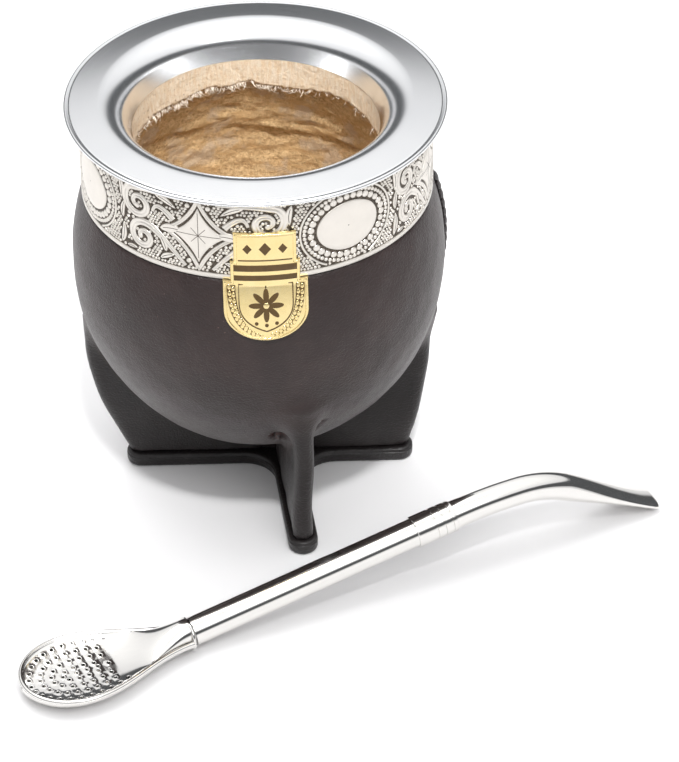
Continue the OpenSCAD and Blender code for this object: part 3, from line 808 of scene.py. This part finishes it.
def to_fin(p, turn, side):
    """Points in a fin's own frame: out along the fin, across it, and up."""
    a = math.radians(turn)
    return (p[:, 0] * math.cos(a) + p[:, 1] * math.sin(a),
            p[:, 1] * math.cos(a) - p[:, 0] * math.sin(a) - side, p[:, 2])


def ellipsoid(p, centre, size):
    """Near-true distance to an ellipsoid."""
    q = (p - centre) / size
    k0 = np.linalg.norm(q, axis=1)
    k1 = np.linalg.norm(q / size, axis=1) + 1e-9
    return k0 * (k0 - 1) / k1


def blend(a, b, width):
    """The nearer of two distances, with a soft fillet of that width."""
    h = np.clip(0.5 + 0.5 * (b - a) / width, 0, 1)
    return b + (a - b) * h - width * h * (1 - h)


def fin_spot(name, out, across, z):
    """The place in the frame of a point given in a fin's own frame."""
    turn, _, _, side = FINS[name]
    a = math.radians(turn)
    y = across + side
    return np.array([out * math.cos(a) - y * math.sin(a), out * math.sin(a) + y * math.cos(a), z])


TEARS = [(fin_spot("front", 39.6, -5.0, 35.0), (3.2, 2.5, 5.0)),
         (fin_spot("front", 41.4, 4.4, 39.0), (2.2, 1.8, 3.4))]


def skin_field(p):
    """Signed distance to the leather's outside: the cover, its four fins, folds and tears."""
    body = ellipsoid(p, (0, 0, BELLY_Z), (BODY_A, BODY_A, BODY_B))
    body = body + 0.10 * ripples(p, 30, 31) + 0.05 * ripples(p, 9, 32) + 0.1
    fins = np.full(len(p), 1e3)
    for turn, foot, reach, side in FINS.values():
        x, y, z = to_fin(p, turn, side)
        thick = FIN_T / 2 - 0.15 + 0.3 * smooth((z - 30) / 16)
        y = y + 0.35 * np.sin(z / 5.5 + side) * smooth((z - SOLE_T) / 10)
        nose = np.hypot(np.maximum(x - fin_out(z, foot, reach) + thick, 0), y) - thick
        fins = np.minimum(fins, np.maximum(nose, -x))
    fins = fins + 0.12 * ripples(p * (1, 1, 0.4), 7, 33)
    whole = blend(body, fins, 2.2 + 4.6 * smooth((p[:, 2] - 30) / 16))
    for centre, size in TEARS:
        hole = ellipsoid(p, centre, size) + 0.55 * ripples(p, 2.6, 34)
        whole = -blend(-whole, hole, 0.5)
    dimple = np.sum((p - fin_spot("front", 45.3, 0.4, 47.2)) ** 2 / (4.5, 3.0, 7.0), axis=1)
    whole = whole + 0.8 * np.exp(-dimple)
    return np.maximum.reduce([whole, p[:, 2] - BAND_LOW + 2 * GAP, SOLE_T - p[:, 2]])


def surface_net(field, low, high, step):
    """Points and quads of the surface where the field is zero, one point in each cell."""
    axes = [np.arange(a, b + step, step) for a, b in zip(low, high)]
    shape = tuple(len(a) for a in axes)
    spots = np.stack(np.meshgrid(*axes, indexing="ij"), -1).reshape(-1, 3)
    value = field(spots).reshape(shape)
    cells = tuple(n - 1 for n in shape)
    total, hits, quads = np.zeros((np.prod(cells), 3)), np.zeros(np.prod(cells)), []
    for axis in range(3):
        a = np.delete(value, -1, axis)
        b = np.delete(value, 0, axis)
        at = np.argwhere((a < 0) != (b < 0))
        one, two = (axis + 1) % 3, (axis + 2) % 3
        at = at[(at[:, [one, two]] > 0).all(1) & (at[:, [one, two]] < (cells[one], cells[two])).all(1)]
        near, far = a[tuple(at.T)], b[tuple(at.T)]
        spot = at.astype(float)
        spot[:, axis] += near / (near - far)
        ring = []
        for back in ((1, 1), (0, 1), (0, 0), (1, 0)):
            cell = at.copy()
            cell[:, one] -= back[0]
            cell[:, two] -= back[1]
            ring.append(np.ravel_multi_index(cell.T, cells))
            np.add.at(total, ring[-1], spot)
            np.add.at(hits, ring[-1], 1)
        ring = np.stack(ring, -1)
        quads.append(np.where((near >= 0)[:, None], ring[:, ::-1], ring))
    used = np.flatnonzero(hits)
    number = np.zeros(len(hits), int)
    number[used] = np.arange(len(used))
    points = np.array(low) + step * total[used] / hits[used][:, None]
    return points, number[np.concatenate(quads)]


def settle(points, field, rounds=3, step=0.02):
    """Moves points onto the surface where the field is zero."""
    for _ in range(rounds):
        value = field(points)
        slope = np.stack([(field(points + step * e) - value) / step for e in np.eye(3)], -1)
        move = -(value / np.maximum((slope ** 2).sum(-1), 0.25))[:, None] * slope
        points = points + np.clip(move, -0.6, 0.6)
    return points


def make_leather():
    """The skin without its lid, the torn places in their own look, and the turned inner wall."""
    reach = BODY_A + 2
    low, high = (-reach, -reach, SOLE_T - 1.5), (reach, reach, BAND_LOW + 1.2)
    points, quads = surface_net(skin_field, low, high, SKIN_STEP)
    points = settle(points, skin_field)
    top = BAND_LOW - 2 * GAP
    a, b = BODY_A - LEATHER_T, BODY_B - LEATHER_T
    open_r = a * math.sqrt(1 - ((top - BELLY_Z) / b) ** 2)
    lid = np.hypot(points[:, 0], points[:, 1]) < open_r
    quads = quads[~((points[:, 2] > top - 0.3) & lid)[quads].any(1)]
    middle = points[quads].mean(1)
    torn = np.zeros(len(quads), int)
    for centre, size in TEARS:
        torn[ellipsoid(middle, centre, size) < 0.5 + 0.5 * ripples(middle, 2.5, 35)] = 1
    shape = Shape().add(points, quads.tolist())
    shape.looks = torn.tolist()
    angle = math.degrees(math.asin((top - BELLY_Z) / b))
    inside = [(open_r + 1.5, top), *arc(a, b, 0, BELLY_Z, angle, -89.9, 30)]
    shape.grid(turned(inside, around(96)))
    nodes = ["leather_cover", "fin_front", "fin_left", "fin_right", "fin_rear"]
    piece("leather_skin", shape, [LEATHER, TORN], nodes, sharp=60)


# Sole and lacing

SOLE_W, SOLE_LIP, SOLE_BLEND = 8.0, 1.2, 9.0
SOLE_TOP = SOLE_T - GAP


def sole_end(centre, angle):
    """The round end of one arm of the sole."""
    return np.array(centre) + arc(SOLE_W / 2, SOLE_W / 2, 0, 0, angle - 90, angle + 90, 13)


def sole_corner(sx, sy):
    """The blend between a side arm and a front or rear arm."""
    far = SOLE_W / 2 + SOLE_BLEND
    turn = math.radians(FRONT_TURN)
    c = ((FRONT_SHIFT + sx * far - sy * far * math.sin(turn)) / math.cos(turn), sy * far)
    side_edge = -90 * sy
    front_edge = FRONT_TURN - 180 * sy if sx > 0 else FRONT_TURN
    start, end = (side_edge, front_edge) if sx * sy > 0 else (front_edge, side_edge)
    return arc(SOLE_BLEND, SOLE_BLEND, c[0], c[1], start, end, 9)


def sole_outline():
    """The cross: a round end of each arm, then the blend to the next arm, counterclockwise."""
    turn = math.radians(FRONT_TURN)
    reach = FINS["front"][1] + SOLE_LIP - SOLE_W / 2
    along = np.array([-math.sin(turn), math.cos(turn)])
    off = FRONT_SHIFT * np.array([math.cos(turn), math.sin(turn)])
    right = FINS["right"][1] + SOLE_LIP - SOLE_W / 2
    left = SOLE_W / 2 - FINS["left"][1] - SOLE_LIP
    ends = (((right, 0), 0), (off + reach * along, 90 + FRONT_TURN),
            ((left, 0), 180), (off - reach * along, FRONT_TURN - 90))
    corners = ((1, 1), (-1, 1), (-1, -1), (1, -1))
    return np.concatenate([part for end, corner in zip(ends, corners)
                           for part in (sole_end(*end), sole_corner(*corner))])


def make_sole():
    """The sole with pressed round edges and a seam line below its upper edge."""
    outline = sole_outline()
    inward = leftwards(np.roll(outline, -1, 0) - np.roll(outline, 1, 0))
    levels = ((0, 1.1), (0.12, 0.6), (0.5, 0.2), (1.1, 0.02), (2.85, 0), (3.02, 0.3),
              (3.2, 0.32), (3.36, 0.05), (3.8, 0.12), (4.05, 0.4), (SOLE_TOP, 0.95))
    rows = [np.column_stack([outline + inward * inset, np.full(len(outline), z)])
            for z, inset in levels]
    piece("sole_plate", Shape().closed(rows), [SOLE], ["sole"], sharp=55)


SEAM_TURN, SEAM_W, SEAM_TURNS = 97.0, 6.0, 13


def make_lacing():
    """The laced seam: flat leather strands that cross from side to side over each other."""
    low, high = FIN_TOP + 1, BAND_LOW - 1
    pitch = (high - low) / (SEAM_TURNS + 0.9)
    shape = Shape()
    section = np.stack([np.cos(around(12)) * pitch * 0.47, np.sin(around(12)) * 0.42], -1)
    for k in range(2 * SEAM_TURNS):
        side = 1 if k % 2 else -1
        start = low + pitch * 0.48 + pitch * (k // 2) + (0.35 * pitch if side > 0 else 0)
        rows = []
        for u in np.linspace(0, 1, 13):
            s = side * (SEAM_W / 2 - 0.5) * (1 - 2 * u)
            lift = 0.12 + (0.72 if side > 0 else 0.55) * math.sin(math.pi * u) ** 0.6
            slim = 1 - 0.35 * abs(2 * u - 1) ** 3
            z = start + pitch * (0.75 * u - 0.2) + section[:, 0] * slim
            r = cover_r(z) + lift + section[:, 1] * slim
            turn = math.radians(SEAM_TURN) + s / r
            rows.append(np.stack([r * np.sin(turn), -r * np.cos(turn), np.clip(z, low, high)], -1))
        shape.closed(rows[::-1] if side > 0 else rows)
    piece("seam_lacing", shape, [LACING], ["seam_braid"], sharp=0)


# Straw: its pieces lie along +X from the filter's neck and are then placed

TUBE_R, COLLAR_R = 3.9, 4.35
NECK_LEN, NECK_Z = 1.0, 4.45
TUBE_LEN, COLLAR_LEN = 67.0, 11.6
RISE, FALL = math.radians(8.9), math.radians(26.0)
EASY_R, BEND_R = 118.0, 32.0
MOUTH_W, MOUTH_T = 11.0, 3.2
SPOON_LEN, SPOON_W, SPOON_Z, SPOON_EDGE = 46.0, 26.8, 4.6, 1.2
HEAD_LEN, NECK_TURN, NECK_FLANGE = 15.2, 20.7, 0.6
DISH, SIEVE_T = 1.7, 0.9
NECK_AT, STRAW_TURN = (-21.3, -81.0), math.radians(24.0)
WIDE_X = HEAD_LEN - SPOON_LEN
TURN = around(48)


def lay(points):
    """Points of the straw's own frame put in their place on the floor."""
    p = np.asarray(points, float)
    c, s = math.cos(STRAW_TURN), math.sin(STRAW_TURN)
    x = NECK_AT[0] + p[..., 0] * c - p[..., 1] * s
    return np.stack([x, NECK_AT[1] + p[..., 0] * s + p[..., 1] * c, p[..., 2]], -1)


def tube_loop(x, z, slope, r=TUBE_R):
    """One round loop across the tube at (x, z), where the tube has that slope."""
    return np.stack([x - r * np.sin(TURN) * math.sin(slope), r * np.cos(TURN),
                     z + r * np.sin(TURN) * math.cos(slope)], -1)


def rising(profile):
    """Loops along the rising line from (distance, radius) pairs."""
    return lay([tube_loop(d * math.cos(RISE), NECK_Z + d * math.sin(RISE), RISE, r) for d, r in profile])


def make_tube():
    start = (NECK_LEN + GAP + TUBE_R * math.sin(RISE)) / math.cos(RISE)
    rings = [(d, TUBE_R) for d in np.linspace(start, TUBE_LEN, 24)]
    piece("straw_pipe", Shape().closed(rising(rings)), [STEEL], ["straw_tube"])


def make_collar():
    """The collar with its step, soft edges and three turned grooves."""
    end = TUBE_LEN + COLLAR_LEN
    rings = [(TUBE_LEN, TUBE_R + 0.05), (TUBE_LEN, COLLAR_R - 0.16), (TUBE_LEN + 0.12, COLLAR_R - 0.03),
             (TUBE_LEN + 0.3, COLLAR_R)]
    for k in range(1, 4):
        at = TUBE_LEN + COLLAR_LEN / 4 + k * COLLAR_LEN / 5
        rings += [(at, COLLAR_R), (at + 0.1, COLLAR_R - 0.2), (at + 0.4, COLLAR_R - 0.2),
                  (at + 0.5, COLLAR_R)]
    rings += [(end - 0.3, COLLAR_R), (end - 0.1, COLLAR_R - 0.05), (end, COLLAR_R - 0.2),
              (end, TUBE_R + 0.02)]
    piece("straw_ferrule", Shape().closed(rising(rings)), [STEEL], ["straw_collar"], sharp=30)


def bend_loops(x, z, start, end, r, count):
    """Loops along a bend from (x, z), as the slope falls from start to end."""
    slopes = np.linspace(start, end, count)
    return [tube_loop(x + r * (math.sin(start) - math.sin(a)), z + r * (math.cos(a) - math.cos(start)), a)
            for a in slopes]


def make_bend():
    """The bent tube and the flattened mouthpiece with the slot in its end."""
    run = TUBE_LEN + COLLAR_LEN
    easy = [(run + 1) * math.cos(RISE), NECK_Z + (run + 1) * math.sin(RISE)]
    level = [easy[0] + EASY_R * math.sin(RISE), easy[1] + EASY_R * (1 - math.cos(RISE))]
    fall = [level[0] + BEND_R * math.sin(FALL), level[1] + BEND_R * (math.cos(FALL) - 1)]
    length = (fall[1] - MOUTH_T / 2 * math.cos(FALL)) / math.sin(FALL)
    loops = [tube_loop(run * math.cos(RISE), NECK_Z + run * math.sin(RISE), RISE)]
    loops += bend_loops(*easy, RISE, 0, EASY_R, 20) + bend_loops(*level, 0, -FALL, BEND_R, 24)[1:]
    piece("straw_elbow", Shape().closed(lay(loops)), [STEEL], ["straw_bend"])

    def mouth(u, inset):
        f = smooth(u)
        half_w = TUBE_R + (MOUTH_W / 2 - TUBE_R) * f - inset
        half_t = TUBE_R + (MOUTH_T / 2 - TUBE_R) * f ** 0.8 - inset
        x = fall[0] + length * u * math.cos(FALL)
        z = fall[1] - length * u * math.sin(FALL)
        up = half_t * np.sin(TURN)
        return np.stack([x + up * math.sin(FALL), half_w * np.cos(TURN), z + up * math.cos(FALL)], -1)
    loops = [mouth(u, 0) for u in np.linspace(0, 0.99, 40)] + [mouth(0.998, 0.08), mouth(1, 0.25)]
    loops += [mouth(1, 0.5), mouth(0.99, 0.6), mouth(0.8, 0.7)]
    piece("straw_lip", Shape().closed(lay(loops)), [STEEL], ["straw_mouthpiece"], sharp=50)


ROLL_R = 0.62
HOLE_R, HOLE_LIP, CRATER_R = 0.46, 0.6, 0.86
ROW_PITCH, HOLE_PITCH = 2.75, 2.55
SHEET_T = 0.3


def spoon_half(x):
    """Half width of the spoon at x, from its tip to the neck."""
    neck = COLLAR_R + NECK_FLANGE
    head = SPOON_W / 2 * np.sqrt(np.clip(1 - ((x - WIDE_X) / HEAD_LEN) ** 2, 0, None))
    tail = neck + (SPOON_W / 2 - neck) * (0.5 + 0.5 * np.cos(math.pi * (x - WIDE_X) / (NECK_LEN - WIDE_X)))
    return np.where(x < WIDE_X, head, tail)


def neckness(x):
    """How far the spoon has closed to the round neck at x, from 0 to 1."""
    return smooth((x + NECK_TURN) / (NECK_TURN + NECK_LEN))


def edge_z(x):
    """Height of the spoon's rim at x."""
    return SPOON_Z + (NECK_Z - SPOON_Z) * neckness(x)


def plate_z(x, share):
    """Height of the sieve plate's top at x, where share is the sine of the way across."""
    n = neckness(x)
    swell = 0.2 + (SIEVE_T - 0.2 + (COLLAR_R - SIEVE_T) * n) * share
    return edge_z(x) - DISH * (1 - n) * share + swell + GAP - 0.9 * (1 - n) * share


def spoon_bowl():
    """The lower shell of the spoon, hollow under the sieve."""
    xs = WIDE_X - HEAD_LEN * np.cos(np.linspace(0.06, math.pi / 2, 16))
    xs = np.concatenate([xs, np.linspace(WIDE_X, NECK_LEN, 30)[1:]])
    t = np.linspace(0, math.pi, 29)
    loops = []
    for x in xs:
        half, rim = float(spoon_half(x)), float(edge_z(x))
        deep = rim * min(1, 0.35 + half / SPOON_W * 1.6) - 0.3
        hollow = (deep - 0.5) * (1 - float(neckness(x)) * 0.4)
        inner = np.stack([0 * t + x, (half - 1.3) * np.cos(t), rim - 0.4 - hollow * np.sin(t)], -1)
        outer = np.stack([0 * t + x, -half * np.cos(t), rim - 0.3 - deep * np.sin(t)], -1)
        loops.append(np.concatenate([inner, outer]))
    return Shape().closed(lay(loops))


def rolled_edge():
    """The bright rolled edge that runs round the spoon from the neck to the neck."""
    a = np.linspace(-math.pi / 2, math.pi / 2, 41)
    head = np.stack([WIDE_X - (HEAD_LEN - 0.6) * np.cos(a), (SPOON_W / 2 - 0.6) * np.sin(a)], -1)
    xs = np.linspace(WIDE_X, NECK_LEN - 0.5, 40)[1:]
    side = np.stack([xs, spoon_half(xs) - 0.6], -1)
    path = np.concatenate([side[::-1] * (1, -1), head, side])
    t = around(14)
    rows = []
    for spot, out in zip(path, leftwards(np.gradient(path, axis=0))):
        flat = spot + out * ROLL_R * np.cos(t)[:, None]
        rows.append(np.column_stack([flat, float(edge_z(spot[0])) - 0.08 + ROLL_R * np.sin(t)]))
    return Shape().closed(lay(rows)[::-1])


def sieve_holes():
    """Middles of the punched holes, in arcs that follow the spoon's tip."""
    holes = []
    for k, steps in enumerate((4, 3, 3, 2)):
        b = SPOON_W / 2 - SPOON_EDGE - 1.7 - ROW_PITCH * k
        a = HEAD_LEN - SPOON_EDGE - 1.5 - 2.9 * k
        count = max(2, round(math.pi * (a + b) / 2 / HOLE_PITCH))
        for t in np.radians(np.linspace(90, 270, count + 1)):
            holes.append((WIDE_X + a * math.cos(t), b * math.sin(t)))
        for step in range(1, steps + 1):
            x = WIDE_X + ROW_PITCH * step
            y = b - (SPOON_W / 2 - float(spoon_half(x)))
            if y > 0.8:
                holes += [(x, y), (x, -y)]
    return holes + [(WIDE_X + 3.0 * k, 0.0) for k in range(4)]


def make_sieve():
    """The dished plate: a flat net with holes, whose points are then raised to the dish."""
    start = -SPOON_LEN + SPOON_EDGE + 0.12
    height = 20.0

    def unroll(x, y):
        half = np.maximum(spoon_half(x) - SPOON_EDGE, 0.4)
        return np.arccos(np.clip(y / half, -0.999, 0.999)) / math.pi * height
    holes = sieve_holes()
    flat, lifts, edges = [], [], []
    turns = around(12)
    for x, y in holes:
        for r, lift in ((HOLE_R, 0.02), (HOLE_LIP, 0.10), (CRATER_R, 0.0)):
            first = len(flat)
            px, py = x + r * np.cos(turns), y + r * np.sin(turns)
            flat += list(zip(px, unroll(px, py)))
            lifts += [lift] * 12
            edges += [(first + i, first + (i + 1) % 12) for i in range(12)]
    corners = [(start, 0), (NECK_LEN, 0), (NECK_LEN, height), (start, height)]
    first = len(flat)
    flat, lifts = flat + corners, lifts + [0] * 4
    edges += [(first + i, first + (i + 1) % 4) for i in range(4)]
    middles = np.array(holes)
    tip = start + 0.02 + np.linspace(0, 1, 6) ** 2 * 1.2
    for x in np.concatenate([tip, np.linspace(start + 2, NECK_LEN, 56)]):
        half = max(0.4, float(spoon_half(x)) - SPOON_EDGE)
        for w in np.linspace(0, height, 27):
            y = half * math.cos(w / height * math.pi)
            if np.hypot(middles[:, 0] - x, middles[:, 1] - y).min() > CRATER_R + 0.18:
                flat.append((x, w))
                lifts.append(0)
    vectors = [Vector((float(a), float(b))) for a, b in flat]
    out, _, tris, source, _, _ = delaunay_2d_cdt(vectors, edges, [], 0, 1e-5)
    lift = np.array([max((lifts[i] for i in src), default=0) for src in source])
    x, w = np.array([tuple(v) for v in out]).T
    half = np.maximum(spoon_half(x) - SPOON_EDGE, 0.4)
    t = w / height * math.pi
    points = np.stack([x, half * np.cos(t), plate_z(x, np.sin(t)) + lift], -1)
    tris = np.array([f[:3] for f in tris])
    corners = points[tris]
    middle = corners.mean(1)
    gap = np.linalg.norm(middle[:, None, :2] - middles, axis=2).min(1)
    a, b = corners[:, 1] - corners[:, 0], corners[:, 2] - corners[:, 0]
    turned_over = a[:, 0] * b[:, 1] - a[:, 1] * b[:, 0] < 0
    tris[turned_over] = tris[turned_over][:, ::-1]
    shape = Shape().add(lay(points), tris[gap > HOLE_R * 0.9].tolist())
    obj = piece("sieve_plate", shape, [STEEL], ["straw_sieve"], sharp=70)
    thick = obj.modifiers.new("sheet", "SOLIDIFY")
    thick.thickness, thick.offset = SHEET_T * MM, -1.0


def make_spoon():
    """The bowl with its rolled edge and crimped neck, and the sieve in it."""
    shape = spoon_bowl()
    for part in (rolled_edge(), neck_flange()):
        shape.add(np.concatenate(part.points), part.faces)
    piece("spoon_shell", shape, [STEEL], ["straw_bowl"], sharp=50)
    make_sieve()


def neck_flange():
    """The crimped ring where the spoon closes round the tube."""
    t = around(12)
    a = np.linspace(0, 2 * math.pi, 49)
    wide, tall, r = COLLAR_R + NECK_FLANGE - 0.42, NECK_Z - 0.42, 0.4
    crimp = 1 - 0.05 * np.exp(-((a % (2 * math.pi) - math.pi / 2) / 0.16) ** 2)
    rows = [np.stack([NECK_LEN - 0.42 + r * np.sin(t), (wide + r * np.cos(t)) * math.cos(s) * c,
                      NECK_Z + (tall + r * np.cos(t)) * math.sin(s) * c], -1) for s, c in zip(a, crimp)]
    return Shape().grid(lay(rows))


# Stage

SKY = ((0.0, (0.75, 0.75, 0.76)), (0.10, (0.62, 0.62, 0.63)), (0.17, (0.075, 0.077, 0.08)),
       (0.44, (0.080, 0.084, 0.089)), (0.487, (0.72, 0.72, 0.73)), (0.8, (0.98, 0.98, 0.98)),
       (1.0, (1, 1, 1)))
SKY_LIGHT = 1.25
FLOOR_HALF = 4.0
YAW, PITCH, ROLL = 0.027269, 0.636529, -0.006929
CAMERA_AT, LENS, SENSOR = (0, -0.78162, 0.60328), 166.85, 36.0
GOURD_MIDDLE = (0, 0, 0.06)
MOUTH_MIDDLE = (0, 0.012, TOTAL_H * MM)


def make_floor():
    """A plain pale floor, large enough for every view."""
    mesh = bpy.data.meshes.new("floor")
    corners = [(x * FLOOR_HALF, y * FLOOR_HALF, 0) for x, y in ((-1, -1), (1, -1), (1, 1), (-1, 1))]
    mesh.from_pydata(corners, [], [(0, 1, 2, 3)])
    look = Look("pale floor", Roughness=0.6, Specular_IOR_Level=0.3)
    look.color((0.93, 0.925, 0.93))
    mesh.materials.append(look.mat)
    floor = bpy.data.objects.new("floor", mesh)
    bpy.context.collection.objects.link(floor)


def make_world():
    """Soft studio light: a bright ceiling over a dark wall band, which the metal mirrors."""
    world = bpy.data.worlds.new("studio")
    bpy.context.scene.world = world
    world.use_nodes = True
    nodes, links = world.node_tree.nodes, world.node_tree.links
    where = nodes.new("ShaderNodeTexCoord")
    split = nodes.new("ShaderNodeSeparateXYZ")
    ramp = nodes.new("ShaderNodeValToRGB")
    links.new(where.outputs["Generated"], split.inputs[0])
    links.new(split.outputs[2], ramp.inputs[0])
    links.new(ramp.outputs[0], nodes["Background"].inputs["Color"])
    nodes["Background"].inputs["Strength"].default_value = SKY_LIGHT
    while len(ramp.color_ramp.elements) < len(SKY):
        ramp.color_ramp.elements.new(0.5)
    for element, (at, tone) in zip(ramp.color_ramp.elements, SKY):
        element.position = at
        element.color = (*tone, 1)


def make_light(name, kind, place, target, power, **settings):
    """A soft light at a place, which looks at the target."""
    data = bpy.data.lights.new(name, kind)
    for key, value in dict(settings, energy=power).items():
        setattr(data, key, value)
    light = bpy.data.objects.new(name, data)
    aim = Vector(target) - Vector(place)
    turn = aim.to_track_quat("-Z", "Y").to_matrix().to_4x4()
    light.matrix_world = Matrix.Translation(place) @ turn
    bpy.context.collection.objects.link(light)


def make_camera():
    """The camera, which looks down on the gourd from in front and is turned by three angles."""
    flat = math.cos(PITCH)
    ahead = Vector((math.sin(YAW) * flat, math.cos(YAW) * flat, -math.sin(PITCH)))
    right = Vector((math.cos(YAW), -math.sin(YAW), 0))
    up = right.cross(ahead)
    side = math.cos(ROLL) * right + math.sin(ROLL) * up
    top = -math.sin(ROLL) * right + math.cos(ROLL) * up
    data = bpy.data.cameras.new("camera")
    data.lens, data.sensor_width, data.clip_start = LENS, SENSOR, 0.01
    camera = bpy.data.objects.new("camera", data)
    turn = Matrix((side, top, -ahead)).transposed().to_4x4()
    camera.matrix_world = Matrix.Translation(CAMERA_AT) @ turn
    bpy.context.collection.objects.link(camera)
    bpy.context.scene.camera = camera


GOURD = gourd_look()
FIBRE = noise_look("gourd fibre", ((0.86, 0.74, 0.58), (0.97, 0.92, 0.84)), (1.5, 2),
                   (0.6, 2, 0.2, 0.65), (0.3, 2, 0.02), Specular_IOR_Level=0.2)
RIM = rim_look()
BAND = band_look("band metal", (0.80, 0.765, 0.71), 0.26)
FIGURE = band_look("band figures", (0.83, 0.79, 0.73), 0.30)
GROUND = ground_look()
GOLD = noise_look("badge gold", ((0.80, 0.62, 0.27), (0.93, 0.77, 0.42)), (4, 3, 0.6),
                  (0.9, 3, 0.12, 0.16), (0.5, 2, 0.004), Metallic=1.0)
ENAMEL = noise_look("badge enamel", ((0.060, 0.032, 0.008), (0.115, 0.066, 0.018)), (1.2, 3),
                    (0.6, 2, 0.15, 0.28), (0.4, 2, 0.006), Specular_IOR_Level=0.35)
LEATHER, TORN = cover_look(), torn_look()
SOLE = leather_look("sole leather", (0.011, 0.009, 0.009), (0.022, 0.018, 0.018), 0.36, 0.8).mat
LACING = leather_look("lacing leather", (0.016, 0.011, 0.011), (0.040, 0.030, 0.030), 0.4, 0.4).mat
STEEL = straw_look()

make_camera()
make_floor()
make_world()
make_light("top light", "AREA", (-0.25, 0.35, 1.5), GOURD_MIDDLE, 9.0, shape="SQUARE", size=0.9)
make_light("front light", "AREA", (0.5, -0.9, 1.2), GOURD_MIDDLE, 4.0, shape="SQUARE", size=0.7)
make_light("mouth light", "SPOT", (0.05, -0.5, 1.0), MOUTH_MIDDLE, 74.0,
           spot_size=math.radians(11), spot_blend=1.0, shadow_soft_size=0.08)
for make in (make_gourd, make_fibres, make_rim, make_band, make_badge, make_leather, make_sole,
             make_lacing, make_tube, make_collar, make_bend, make_spoon):
    make()
bpy.context.scene.view_settings.view_transform = "Standard"
